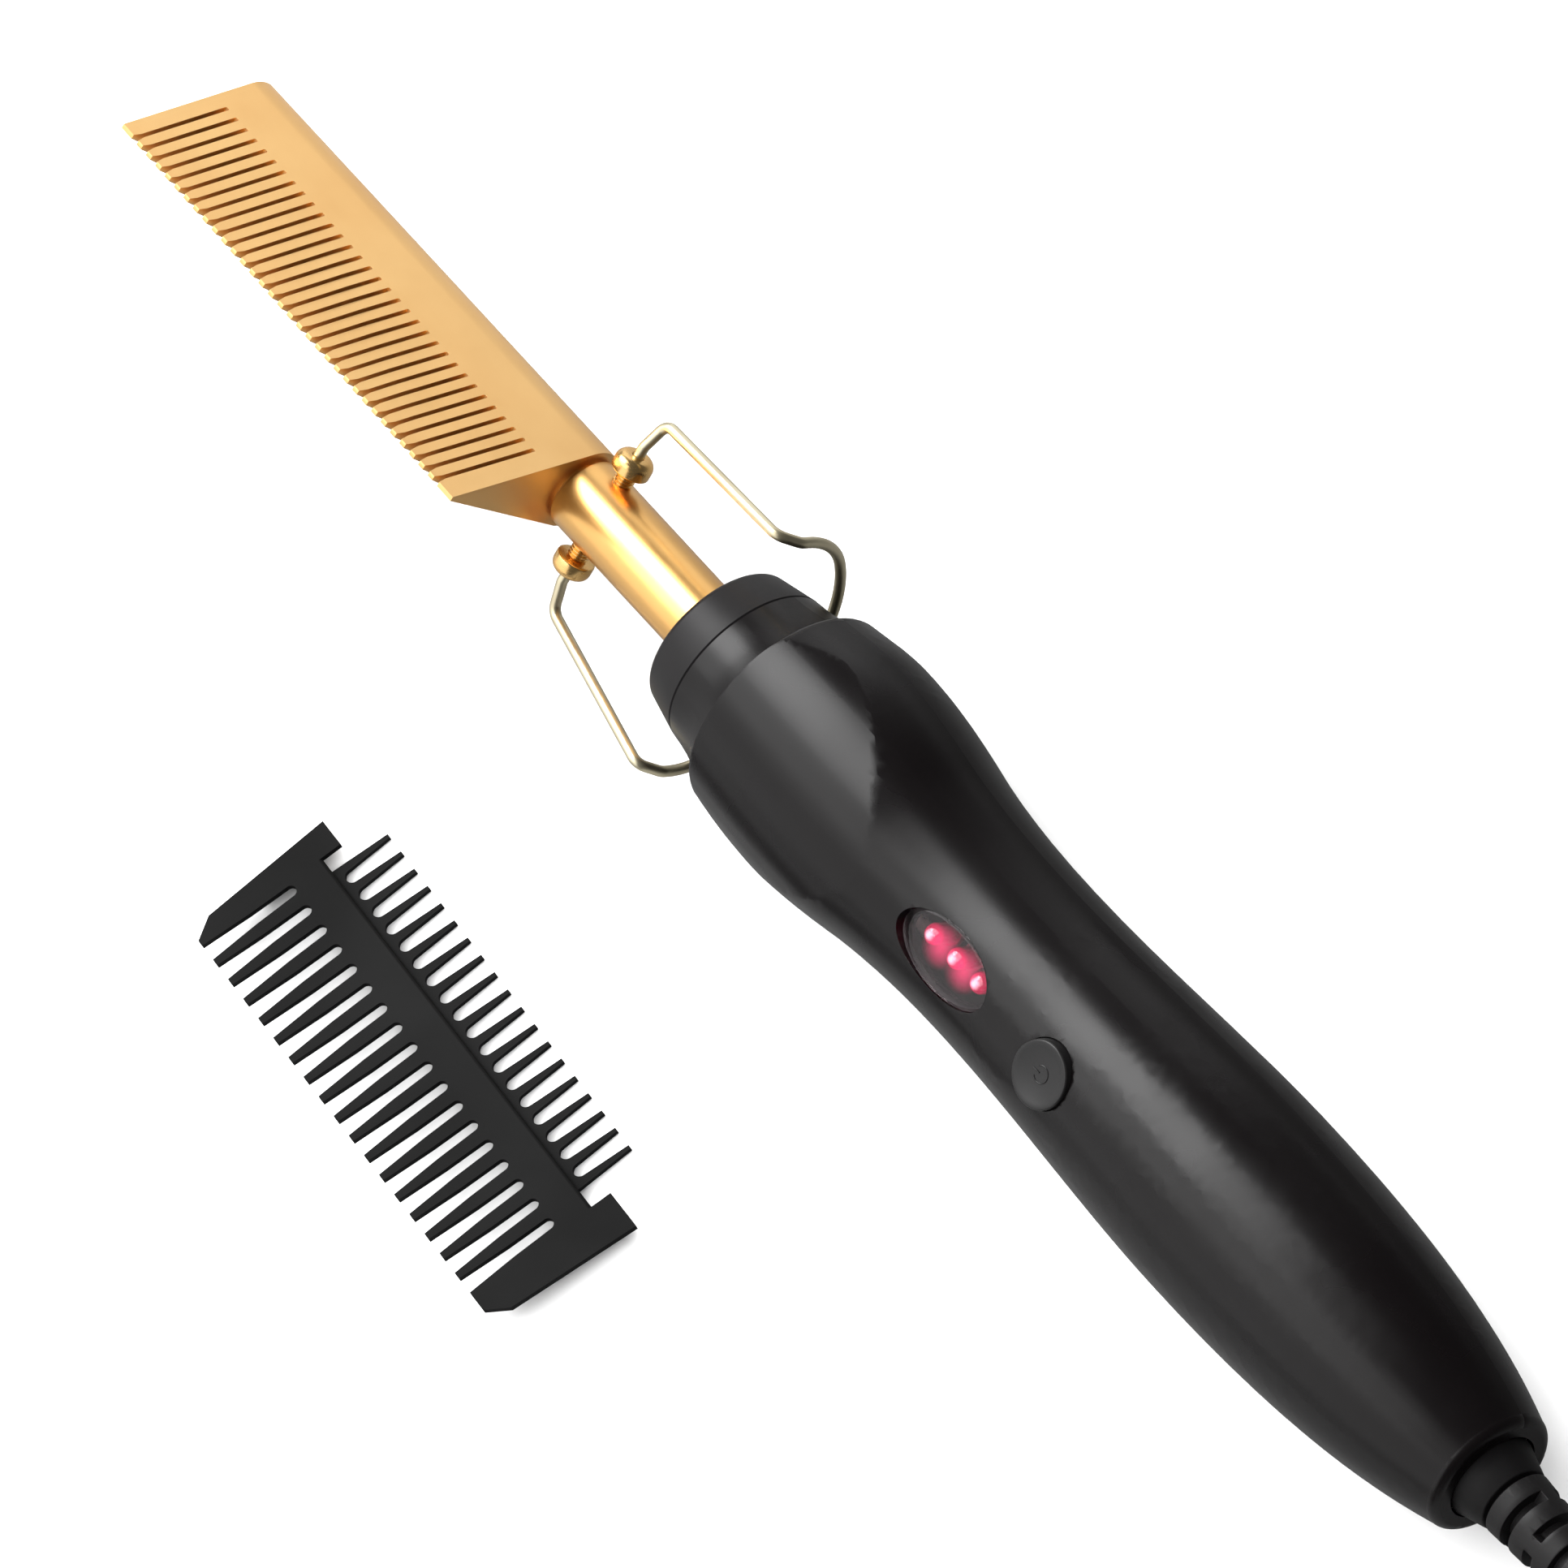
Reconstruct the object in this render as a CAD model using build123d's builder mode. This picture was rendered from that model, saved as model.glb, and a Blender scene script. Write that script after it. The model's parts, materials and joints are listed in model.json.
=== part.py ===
from build123d import *
from math import asin, cos, degrees, pi, radians, sin, sqrt, tan
import os

# Electric hot comb: slotted heated comb head on a tube, a wire stand that swings on two
# screws, a two-shell handle with a button and an indicator window, a swivelling cord and a
# separate guard comb.  Millimetres.  The tool lies on its handle, rolled on its side.
#
# Tool directions: x runs along the barrel from the comb head towards the cord, `teeth_way` is
# where the teeth point and `side_way` is across the two.  x = 0 is the pivot of the stand.

os.makedirs("parts", exist_ok=True)

# ---------------------------------------------------------------- how the tool lies
roll = 31.0                   # teeth lean this far from upright
floor_clearance = 0.5         # under the widest part of the handle; the stand's corner reaches the floor
free_gap = 0.3                # between pieces of different bodies
running_gap = 0.06            # radial, where one piece turns in another
slip_fit = 0.05               # radial, where a fixed piece sits in a hole

# ---------------------------------------------------------------- comb head
head_base_x = -5.2            # face that the barrel enters
head_length = 78.5
spine_radius = 6.5
tooth_reach = 26.7            # from the barrel's axis to the tooth tips, at the base
far_tooth_reach = 23.7        # the same at the far end
tip_thickness = 1.0
slot_count = 33
slot_width = 0.6
slot_root = 9.3               # from the axis to where the slots end, at the base
far_slot_root = 7.7           # the same at the far end
slot_margin = 3.8             # from the base face to the first slot
slot_end_margin = 2.95        # from the last slot to the far end
tip_point_length = 0.8        # the slots widen over this length
tip_land = 1.2                # width left at each tip
spine_chamfer = 2.4
heater_bore_radius = 3.5
heater_bore_depth = 66.0

# ---------------------------------------------------------------- barrel tube
barrel_radius = 5.6
barrel_bore_radius = 4.0
spigot_radius = 4.7           # the turned-down end inside the comb head
spigot_length = 10.0
seat_groove_width = 0.6       # dark line where barrel and head meet
barrel_end_x = 47.0

# ---------------------------------------------------------------- heater and sensor
heater_length = 56.0
heater_flat = 1.2             # ground off two sides of the heater rod
sensor_radius = 1.1
sensor_length = 7.0
lead_radius = 0.7
lead_spread = 1.9             # of each lead from the axis, in the barrel
lead_board_spread = 5.2       # the same, at the board
lead_free_run = 4.0
lead_lap = 5.0                # along the board
lead_bend_radius = 12.0

# ---------------------------------------------------------------- wire stand and its screws
wire_radius = 0.8
pin_depth = 1.7               # of the wire's end inside the screw head
pin_straight = 1.6            # of the wire outside the head, in line with the pivot
screw_shank_radius = 1.5
screw_head_radius = 2.85
screw_head_near = 7.7         # from the axis to the underside of the head
screw_head_height = 2.7
screw_tip = 4.5               # from the axis to the screw's tip
elbow_side, elbow_x, elbow_drop = 16.7, 0.9, 0.7
arm_side, arm_x, arm_rise = 20.4, 28.1, 4.2
loop_x, loop_start_rise, loop_start_drop = 30.0, 0.8, 0.6
wire_bend_radius = 1.9
loop_drop = 16.4              # from the axis to the middle of the loop's back
loop_corner_radius = 13.0

# ---------------------------------------------------------------- collar cap and neck
collar_front_x = 25.7
seam_x = 33.0                 # line between collar cap and handle
collar_front_radius = 11.9
seam_radius = 13.3
seam_groove = 0.3             # chamfer of the cap's back edge
collar_edge_round = 1.2
collar_hole_gap = 0.4         # around the barrel
neck_spigot_length = 5.0
neck_spigot_wall = 1.5
bush_radius = 9.0
bush_length = 15.0
bush_flange = 1.2             # the flange stands this far out of the bush
bush_flange_width = 3.0

# ---------------------------------------------------------------- handle
shoulder_x, shoulder_radius = 40.3, 16.6
shoulder_round = 1.6
neck_end_radius = 14.9        # the neck just before the shoulder
neck_hollow = 0.25            # the neck's outline sags by this
bulge_x, bulge_radius = 52.0, 17.8
flank_x, flank_radius = 70.0, 15.95
waist_x, waist_radius = 93.0, 14.2
palm_x, palm_radius = 145.0, 16.2
tail_x, tail_radius = 200.0, 10.1
tail_round = 1.5
shoulder_slope, flank_slope, tail_slope = 0.16, -0.18, -0.30
wall = 2.2
tail_wall = 1.7
facet_crown, facet_back = 15.75, 14.85    # its height at the crown and at the cord's end
facet_crown_x, facet_end_x = 58.0, 80.0
facet_offset = 4.2            # of the facet's own centre line behind the axis

# ---------------------------------------------------------------- window and lamps
window_x = 92.0
window_length, window_width = 18.6, 10.0
window_ledge = 1.0
window_recess = 2.1           # from the handle's surface down to the ledge
lens_thickness = 1.3
lamp_pitch = 5.06
lamp_radius = 1.5
lamp_flange, lamp_flange_height = 0.35, 1.0
lamp_leg_height, lamp_leg_radius = 1.5, 0.3
lamp_under_lens = 0.3
window_pad = 1.2              # inner pad around the window

# ---------------------------------------------------------------- button and switch
button_x = 115.6
button_radius = 4.9
button_gap = 0.15
button_rim_level = 15.9       # from the axis to the button's rim
button_dish_radius = 17.0
button_travel = 0.8
button_guide_level = 11.4     # from the axis to the inner end of the button's guide
button_guide_wall = 1.5
button_flange, button_flange_thickness = 0.8, 1.0
button_stop_gap = 0.15
button_rim_land = 0.5
button_stem_radius = 2.0
switch_size = 6.0
switch_height = 3.5
plunger_radius = 1.7
plunger_stand = 1.0           # of the plunger above the switch
plunger_hold = 2.1            # of the plunger inside the switch

# ---------------------------------------------------------------- control board
board_start_x, board_end_x = 84.0, 146.0
board_half_width = 8.5
board_thickness = 1.6
board_top = 5.0               # from the axis to the board's upper face
board_post_places = (105.2, 136.0)
board_post_radius = 2.3
board_screw_radius, board_screw_length = 1.0, 6.0
board_screw_head_radius, board_screw_head_height = 1.8, 1.3
capacitor_x, capacitor_size = 120.0, (15.0, 7.0, 9.0)
triac_x, triac_size = 142.0, (4.6, 7.8, 9.5)

# ---------------------------------------------------------------- shell screws
shell_screw_places = (66.0, 158.0)
shell_screw_radius = 1.25
shell_screw_head_radius = 2.4
shell_screw_head_height = 1.6
shell_screw_seat = 11.0       # from the axis to the seat of the screw heads
shell_screw_length = 17.0
shell_boss_radius = 3.1

# ---------------------------------------------------------------- swivel
mouth_radius = 7.1
ring_start_x, ring_end_x = 197.2, 204.7
ring_start_radius, ring_end_radius = 6.75, 5.35
socket_start_x, socket_end_x = 177.0, 196.6
socket_radius = 7.6
socket_groove_x, socket_groove_width, socket_groove_depth = 188.0, 3.0, 1.2
spindle_radius = 3.9
spindle_bore = 1.9
spindle_start_x = 178.4
clip_x, clip_width, clip_radius, clip_groove = 179.4, 0.8, 5.0, 0.7
clip_chamber = 0.4            # free space around the clip
contact_ring_places = (183.4, 193.0)
contact_ring_width, contact_ring_wall = 1.8, 0.5
brush_width = 1.5

# ---------------------------------------------------------------- strain relief
relief_groove_width, relief_groove_radius = 0.7, 4.2
relief_start_radius, relief_end_radius = 5.3, 3.9
relief_length = 25.6
relief_core_radius = 3.3
relief_first_cut, relief_cut_count, relief_cut_width, relief_cut_pitch = 2.9, 5, 1.7, 4.6
relief_web = 2.6              # width of the two bridges left at each cut

# ---------------------------------------------------------------- cord, coil and plug
cord_radius = 3.0
cord_real_length = 1800.0
coil_x, coil_y = 300.0, -45.0
coil_mean_radius = 36.0
coil_columns, coil_rows = 4, 2
coil_row_rise = 5.6
tie_thickness, tie_width, tie_gap = 1.0, 9.0, 0.2
tie_angle = -20.0
plug_length, plug_width, plug_height = 30.0, 34.0, 17.0
plug_tail_length, plug_tail_radius = 18.0, 4.6
plug_tail_lip = 0.6           # the tail's end stands this far out of the cord
plug_shoulder_share = 0.72    # width of the plug's shoulder over its face
plug_lift = 0.2               # under the plug
plug_y = -92.0
pin_blade_width, pin_blade_thickness, pin_blade_length = 6.35, 1.63, 17.1
pin_blade_pitch = 13.7
pin_blade_turn = 30.0
pin_root = 8.0                # of each blade inside the plug

# ---------------------------------------------------------------- guard comb
guard_corner_x, guard_corner_y = -2.58, -56.37
guard_yaw = -4.2
guard_tilt = 5.5
guard_length = 78.7
guard_height = 3.4            # of the upper face above the floor, at the tabs
guard_plate = 1.0
guard_tip_reach = 23.4        # from the tabs' edge to the long tips
guard_bar_edge = 3.2          # from the tabs' edge to the bar
guard_slot_root = 8.5         # from the tabs' edge to the ends of the slots
guard_slot_bend = 15.5        # from the tabs' edge to where the slots start to widen
guard_slot_count, guard_slot_first, guard_slot_last = 18, 5.8, 8.25     # from the two ends
guard_slot_widths = (1.7, 1.9, 2.8)     # at the root, at the bend and at the mouth
guard_fine_count, guard_fine_first, guard_fine_last = 19, 6.9, 11.3     # from the two ends
guard_fine_reach = 9.2
guard_fine_root_width, guard_fine_tip_width = 1.35, 0.6
guard_fine_root = 0.9         # the gaps between the fine teeth start this far from the bar
guard_fine_thickness = 0.8
guard_tab_lengths = (4.5, 6.4)
guard_end_taper = 1.3         # each end draws in this far at the tips
guard_end_chamfer = (2.2, 3.2)
guard_lip_width = 1.8
guard_lip_depth = 1.6         # of the lip below the plate
guard_lip_round = 0.6
guard_foot = 1.0              # thickness of each foot under the plate
guard_foot_reach = 13.0       # from the tabs' edge to the feet's far end
guard_foot_insets = (1.0, 2.8)          # of the feet from the ends of the plate

# ---------------------------------------------------------------- tool directions and planes
axis_height = bulge_radius + floor_clearance
along = Vector(1, 0, 0)
side_way = Vector(0, cos(radians(roll)), sin(radians(roll)))
teeth_way = Vector(0, -sin(radians(roll)), cos(radians(roll)))
origin = Vector(0, 0, axis_height)
tool_axis = Axis(origin, along)


def place(x, side=0.0, reach=0.0):
    """Point of the tool at x, `side` across and `reach` towards the teeth."""
    return origin + along * x + side_way * side + teeth_way * reach


def section(x):
    """Plane across the tool: its own x is sideways and its own y is towards the teeth."""
    return Plane(origin=place(x), x_dir=side_way, z_dir=along)


def level(reach, x=0.0):
    """Plane facing the teeth's way: its own x is along the tool and its own y is sideways."""
    return Plane(origin=place(x, 0, reach), x_dir=along, z_dir=teeth_way)


profile = Plane(origin=origin, x_dir=along, z_dir=side_way * -1)   # x along, y teeth way
plan = Plane(origin=origin, x_dir=along, z_dir=teeth_way)          # x along, y sideways


def save(part, name):
    part.label = name
    export_step(part, f"parts/{name}.step")


def turned(outline, bore=0.0):
    """Ring or rod turned on the tool's axis; outline is a list of (x, radius) corners."""
    with BuildPart() as piece:
        with BuildSketch(profile):
            with BuildLine():
                Polyline((outline[0][0], bore), *outline, (outline[-1][0], bore), close=True)
            make_face()
        revolve(axis=tool_axis)
    return piece.part


# ================================================================ comb head
head_end_x = head_base_x - head_length
first_slot_x = head_base_x - slot_margin
slot_pitch = (head_length - slot_margin - slot_end_margin) / (slot_count - 1)
slot_mouth_half = (slot_pitch - tip_land) / 2


def along_head(x, at_base, at_far_end):
    """Value at x of a size that changes evenly from the head's base to its far end."""
    return at_base + (at_far_end - at_base) * (head_base_x - x) / head_length


with BuildPart() as comb_head:
    # teardrop sections: a round spine and two flanks that run together at the tips
    for x, reach in ((head_end_x, far_tooth_reach), (head_base_x, tooth_reach)):
        lean = asin((spine_radius - tip_thickness / 2) / reach)
        side, rise = spine_radius * cos(lean), spine_radius * sin(lean)
        with BuildSketch(section(x)):
            with BuildLine():
                ThreePointArc((-side, rise), (0, -spine_radius), (side, rise))
                Polyline((side, rise), (tip_thickness / 2, reach), (-tip_thickness / 2, reach),
                         (-side, rise))
            make_face()
    loft(ruled=True)
    # far corner of the spine
    with BuildSketch(profile):
        with BuildLine():
            Polyline((head_end_x, -spine_radius - 1), (head_end_x + spine_chamfer + 1, -spine_radius - 1),
                     (head_end_x, -spine_radius + spine_chamfer), close=True)
        make_face()
    extrude(amount=spine_radius, both=True, mode=Mode.SUBTRACT)
    # slots between the teeth, open at the tips, where they widen a little
    with BuildSketch(profile):
        for number in range(slot_count):
            centre = first_slot_x - number * slot_pitch
            root = along_head(centre, slot_root, far_slot_root)
            tips = along_head(centre, tooth_reach, far_tooth_reach)
            half = slot_width / 2
            with BuildLine():
                Polyline((centre - half, tips - tip_point_length), (centre - half, root + half))
                ThreePointArc((centre - half, root + half), (centre, root), (centre + half, root + half))
                Polyline((centre + half, root + half), (centre + half, tips - tip_point_length),
                         (centre + slot_mouth_half, tips + 0.5), (centre - slot_mouth_half, tips + 0.5),
                         (centre - half, tips - tip_point_length))
            make_face()
    extrude(amount=spine_radius, both=True, mode=Mode.SUBTRACT)
    # seat of the barrel and pocket of the heater
    with BuildSketch(section(head_base_x)):
        Circle(spigot_radius + slip_fit)
    extrude(amount=-spigot_length, mode=Mode.SUBTRACT)
    with BuildSketch(section(head_base_x)):
        Circle(heater_bore_radius)
    extrude(amount=-heater_bore_depth, mode=Mode.SUBTRACT)
save(comb_head.part, "comb_head")

# ================================================================ barrel tube
barrel_start_x = head_base_x + seat_groove_width

with BuildPart() as barrel_tube:
    add(turned([(head_base_x - spigot_length + slip_fit, spigot_radius), (barrel_start_x, spigot_radius),
                (barrel_start_x, barrel_radius), (barrel_end_x, barrel_radius)], barrel_bore_radius))
    with BuildSketch(Plane(origin=origin, x_dir=along, z_dir=side_way)):
        Circle(screw_shank_radius + slip_fit)
    extrude(amount=barrel_radius + 1, both=True, mode=Mode.SUBTRACT)
save(barrel_tube.part, "barrel_tube")

# ================================================================ heater, sensor and leads
heater_end_x = head_base_x - spigot_length
heater_start_x = heater_end_x - heater_length + spigot_length

with BuildPart() as heater_element:
    with BuildSketch(section(heater_start_x)):
        Circle(heater_bore_radius - slip_fit)
        Rectangle(2 * heater_bore_radius, 2 * (heater_bore_radius - heater_flat), mode=Mode.INTERSECT)
    extrude(amount=heater_end_x + spigot_length - heater_start_x)
save(heater_element.part, "heater_element")

heater_face_x = heater_end_x + spigot_length

with BuildPart() as temperature_sensor:
    with BuildSketch(section(heater_face_x)):
        Circle(sensor_radius)
    extrude(amount=sensor_length)
    fillet(temperature_sensor.edges().sort_by(Axis.X)[-1:], sensor_radius * 0.6)
save(temperature_sensor.part, "temperature_sensor")

lead_low = board_top - board_thickness - lead_radius
with BuildPart() as heater_leads:
    for hand in (-1, 1):
        with BuildLine(Plane.XY, mode=Mode.PRIVATE) as route:
            FilletPolyline(place(heater_face_x, hand * lead_spread),
                           place(barrel_end_x + lead_free_run, hand * lead_spread),
                           place(barrel_end_x + 4 * lead_free_run, hand * lead_board_spread, lead_low),
                           place(board_start_x + lead_lap, hand * lead_board_spread, lead_low),
                           radius=lead_bend_radius)
        with BuildSketch(section(heater_face_x)):
            with Locations((hand * lead_spread, 0)):
                Circle(lead_radius)
        sweep(path=route.line)
save(heater_leads.part, "heater_leads")

# ================================================================ insulating bush and collar cap
bush_start_x = seam_x - neck_spigot_length
bush_end_x = bush_start_x + bush_length
save(turned([(bush_start_x, bush_radius), (bush_end_x - bush_flange_width, bush_radius),
             (bush_end_x - bush_flange_width, bush_radius + bush_flange),
             (bush_end_x, bush_radius + bush_flange)], barrel_radius + slip_fit), "insulating_bush")

neck_spigot_radius = bush_radius + slip_fit + neck_spigot_wall

with BuildPart() as collar_cap:
    with BuildSketch(profile):
        with BuildLine():
            Polyline((collar_front_x, barrel_radius + collar_hole_gap),
                     (collar_front_x, collar_front_radius), (seam_x - seam_groove, seam_radius),
                     (seam_x, seam_radius - seam_groove),
                     (seam_x, neck_spigot_radius + slip_fit),
                     (bush_start_x - slip_fit, neck_spigot_radius + slip_fit),
                     (bush_start_x - slip_fit, barrel_radius + collar_hole_gap), close=True)
        make_face()
    revolve(axis=tool_axis)
    fillet(collar_cap.edges().filter_by(GeomType.CIRCLE).group_by(Axis.X)[0].sort_by(SortBy.RADIUS)[-1:],
           collar_edge_round)
save(collar_cap.part, "collar_cap")

# ================================================================ stand screws
with BuildPart() as stand_screws:
    for hand in (-1, 1):
        outward = Plane(origin=origin, x_dir=along, z_dir=side_way * hand)
        head_top = screw_head_near + screw_head_height
        with BuildSketch(outward.offset(screw_tip)):
            Circle(screw_shank_radius)
        extrude(amount=screw_head_near - screw_tip)
        with BuildSketch(outward.offset(screw_head_near)):
            Circle(screw_head_radius)
        extrude(amount=screw_head_height)
        rim = stand_screws.edges().filter_by(GeomType.CIRCLE)
        rim = rim.filter_by(lambda edge: abs(edge.radius - screw_head_radius) < 0.01)
        outermost = rim.sort_by(Axis(origin, side_way * hand))[-1:]
        fillet(outermost, screw_head_height * 0.5)
        with BuildSketch(outward.offset(head_top)):
            Circle(wire_radius + running_gap)
        extrude(amount=-pin_depth - running_gap, mode=Mode.SUBTRACT)
save(stand_screws.part, "stand_screws")

# ================================================================ wire stand
head_top = screw_head_near + screw_head_height
pin_start = head_top - pin_depth
loop_side_run = arm_side - loop_corner_radius
loop_height = loop_drop - loop_start_drop
loop_back_radius = ((loop_side_run ** 2 + loop_height ** 2 - loop_corner_radius ** 2)
                    / (2 * (loop_height - loop_corner_radius)))
loop_back_centre = -loop_drop + loop_back_radius
join_angle = asin(loop_side_run / (loop_back_radius - loop_corner_radius))
join_side = loop_back_radius * sin(join_angle)
join_drop = loop_back_centre - loop_back_radius * cos(join_angle)
corner_half = (pi / 2 - join_angle) / 2
corner_side = loop_side_run + loop_corner_radius * cos(corner_half)
corner_drop = -loop_start_drop - loop_corner_radius * sin(corner_half)

with BuildPart() as wire_stand:
    with BuildLine() as wire_route:
        for hand in (1, -1):
            FilletPolyline(place(0, hand * pin_start), place(0, hand * (head_top + pin_straight)),
                           place(elbow_x, hand * elbow_side, -elbow_drop),
                           place(arm_x, hand * arm_side, arm_rise),
                           place(loop_x, hand * arm_side, loop_start_rise),
                           place(loop_x, hand * arm_side, -loop_start_drop), radius=wire_bend_radius)
            ThreePointArc(place(loop_x, hand * arm_side, -loop_start_drop),
                          place(loop_x, hand * corner_side, corner_drop),
                          place(loop_x, hand * join_side, join_drop))
        ThreePointArc(place(loop_x, join_side, join_drop), place(loop_x, 0, -loop_drop),
                      place(loop_x, -join_side, join_drop))
    with BuildSketch(Plane(origin=place(0, pin_start), x_dir=along, z_dir=side_way)):
        Circle(wire_radius)
    sweep(path=wire_route.wires()[0], transition=Transition.ROUND)
save(wire_stand.part, "wire_stand")


# ================================================================ handle form
def grip_stations(inset):
    """Points of the handle's outline between its shoulder and its tail, drawn in by inset."""
    return [(bulge_x, bulge_radius - inset), (flank_x, flank_radius - inset),
            (waist_x, waist_radius - inset), (palm_x, palm_radius - inset)]


grip_tangents = [(1, shoulder_slope), (1, 0), (1, flank_slope), (1, 0), (1, 0), (1, tail_slope)]


def cut_facet(inset):
    """Leaf-shaped facet on the teeth side: a barrel-shaped cut about its own centre line."""
    facet_axis = Axis(place(0, 0, -facet_offset), along)
    outside = 2 * bulge_radius
    with BuildSketch(profile) as waste:
        with BuildLine():
            ThreePointArc((shoulder_x, neck_end_radius - inset), (facet_crown_x, facet_crown - inset),
                          (facet_end_x, facet_back - inset))
            Polyline((facet_end_x, facet_back - inset), (facet_end_x, outside), (shoulder_x, outside),
                     (shoulder_x, neck_end_radius - inset))
        make_face()
    revolve(waste.sketch, axis=facet_axis, mode=Mode.SUBTRACT)


with BuildPart() as grip:
    with BuildSketch(profile):
        with BuildLine():
            Polyline((bush_start_x, 0), (bush_start_x, neck_spigot_radius), (seam_x, neck_spigot_radius),
                     (seam_x, seam_radius))
            ThreePointArc((seam_x, seam_radius),
                          ((seam_x + shoulder_x) / 2, (seam_radius + neck_end_radius) / 2 - neck_hollow),
                          (shoulder_x, neck_end_radius))
            Line((shoulder_x, neck_end_radius), (shoulder_x, shoulder_radius - shoulder_round))
            RadiusArc((shoulder_x, shoulder_radius - shoulder_round),
                      (shoulder_x + shoulder_round, shoulder_radius), shoulder_round)
            Spline((shoulder_x + shoulder_round, shoulder_radius), *grip_stations(0),
                   (tail_x - tail_round, tail_radius), tangents=grip_tangents)
            RadiusArc((tail_x - tail_round, tail_radius), (tail_x, tail_radius - tail_round), tail_round)
            Polyline((tail_x, tail_radius - tail_round), (tail_x, 0), (bush_start_x, 0))
        make_face()
    revolve(axis=tool_axis)
    cut_facet(0)

socket_rib_radius = socket_radius - socket_groove_depth + slip_fit


def grip_core(inset, tail_inset):
    """Solid shape of the handle's inside, drawn in by inset, between bush and mouth."""
    with BuildPart() as core:
        with BuildSketch(profile) as half:
            with BuildLine():
                Polyline((bush_end_x, 0), (bush_end_x, shoulder_radius - inset))
                Spline((bush_end_x, shoulder_radius - inset), *grip_stations(inset),
                       (socket_end_x, tail_radius - tail_inset),
                       tangents=grip_tangents)
                Polyline((socket_end_x, tail_radius - tail_inset), (socket_end_x, 0), (bush_end_x, 0))
            make_face()
        revolve(half.sketch, axis=tool_axis)
        cut_facet(inset)
    return core.part


with BuildPart() as hollow:
    add(grip_core(wall, tail_wall))
    add(turned([(socket_groove_x, bulge_radius), (socket_groove_x + socket_groove_width, bulge_radius)],
               socket_rib_radius), mode=Mode.SUBTRACT)
    # seat of the bush, with its flange, and the mouth at the tail
    add(turned([(bush_start_x - 1, bush_radius + slip_fit),
                (bush_end_x - bush_flange_width, bush_radius + slip_fit),
                (bush_end_x - bush_flange_width, bush_radius + bush_flange + slip_fit),
                (bush_end_x + 1, bush_radius + bush_flange + slip_fit)]))
    add(turned([(socket_end_x - 1, mouth_radius), (tail_x + 1, mouth_radius)]))

# ================================================================ front shell, on the teeth side
window_floor = waist_radius - window_recess
button_hole_radius = button_radius + button_gap
button_guide_radius = button_hole_radius + button_guide_wall


def window_outline(grow):
    """Window seen from above, larger by grow all round."""
    Ellipse(window_length / 2 + grow, window_width / 2 + grow)


def at_places(places):
    """Locations in a row along the tool."""
    return Locations(*[(x, 0) for x in places])


boss_limit = grip_core(wall / 2, tail_wall / 2)

with BuildPart() as front_bosses:
    # pad of the window, guide of the button, posts of the board and screw bosses
    with BuildSketch(level(window_floor - window_pad, window_x)):
        window_outline(window_pad)
    extrude(amount=bulge_radius)
    with BuildSketch(level(button_guide_level, button_x)):
        Circle(button_guide_radius)
    extrude(amount=bulge_radius)
    with BuildSketch(level(board_top)):
        with at_places(board_post_places):
            Circle(board_post_radius)
    extrude(amount=bulge_radius)
    with BuildSketch(level(0)):
        with at_places(shell_screw_places):
            Circle(shell_boss_radius)
    extrude(amount=bulge_radius)
    add(boss_limit, mode=Mode.INTERSECT)

with BuildPart() as back_bosses:
    with BuildSketch(level(0)):
        with at_places(shell_screw_places):
            Circle(shell_boss_radius + wall)
    extrude(amount=-bulge_radius)
    add(boss_limit, mode=Mode.INTERSECT)

with BuildPart() as front_shell:
    add(grip.part)
    split(bisect_by=plan, keep=Keep.TOP)
    add(hollow.part, mode=Mode.SUBTRACT)
    add(front_bosses.part)
    # openings
    with BuildSketch(level(window_floor, window_x)):
        window_outline(0)
    extrude(amount=bulge_radius, mode=Mode.SUBTRACT)
    with BuildSketch(level(0, window_x)):
        window_outline(-window_ledge)
    extrude(amount=bulge_radius, mode=Mode.SUBTRACT)
    with BuildSketch(level(board_top + switch_height, button_x)):
        Circle(button_hole_radius)
    extrude(amount=bulge_radius, mode=Mode.SUBTRACT)
    with BuildSketch(level(board_top)):
        with at_places(board_post_places):
            Circle(board_screw_radius)
    extrude(amount=board_screw_length, mode=Mode.SUBTRACT)
    with BuildSketch(level(0)):
        with at_places(shell_screw_places):
            Circle(shell_screw_radius)
    extrude(amount=shell_screw_length - shell_screw_seat + 1, mode=Mode.SUBTRACT)
save(front_shell.part, "front_shell")

# ================================================================ back shell
with BuildPart() as back_shell:
    add(grip.part)
    split(bisect_by=plan, keep=Keep.BOTTOM)
    add(hollow.part, mode=Mode.SUBTRACT)
    add(back_bosses.part)
    with BuildSketch(level(0)):
        with at_places(shell_screw_places):
            Circle(shell_screw_radius + slip_fit)
    extrude(amount=-bulge_radius, mode=Mode.SUBTRACT)
    with BuildSketch(level(-shell_screw_seat)):
        with at_places(shell_screw_places):
            Circle(shell_screw_head_radius + free_gap)
    extrude(amount=-bulge_radius, mode=Mode.SUBTRACT)
save(back_shell.part, "back_shell")

with BuildPart() as shell_screws:
    with BuildSketch(level(-shell_screw_seat)):
        with at_places(shell_screw_places):
            Circle(shell_screw_radius)
    extrude(amount=shell_screw_length)
    with BuildSketch(level(-shell_screw_seat)):
        with at_places(shell_screw_places):
            Circle(shell_screw_head_radius)
    extrude(amount=-shell_screw_head_height)
save(shell_screws.part, "shell_screws")

# ================================================================ window lens and lamps
with BuildPart() as window_lens:
    with BuildSketch(level(window_floor, window_x)):
        window_outline(-slip_fit)
    extrude(amount=lens_thickness)
    fillet(window_lens.faces().sort_by(Axis(origin, teeth_way))[-1].edges(), lens_thickness * 0.35)
save(window_lens.part, "window_lens")

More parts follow.
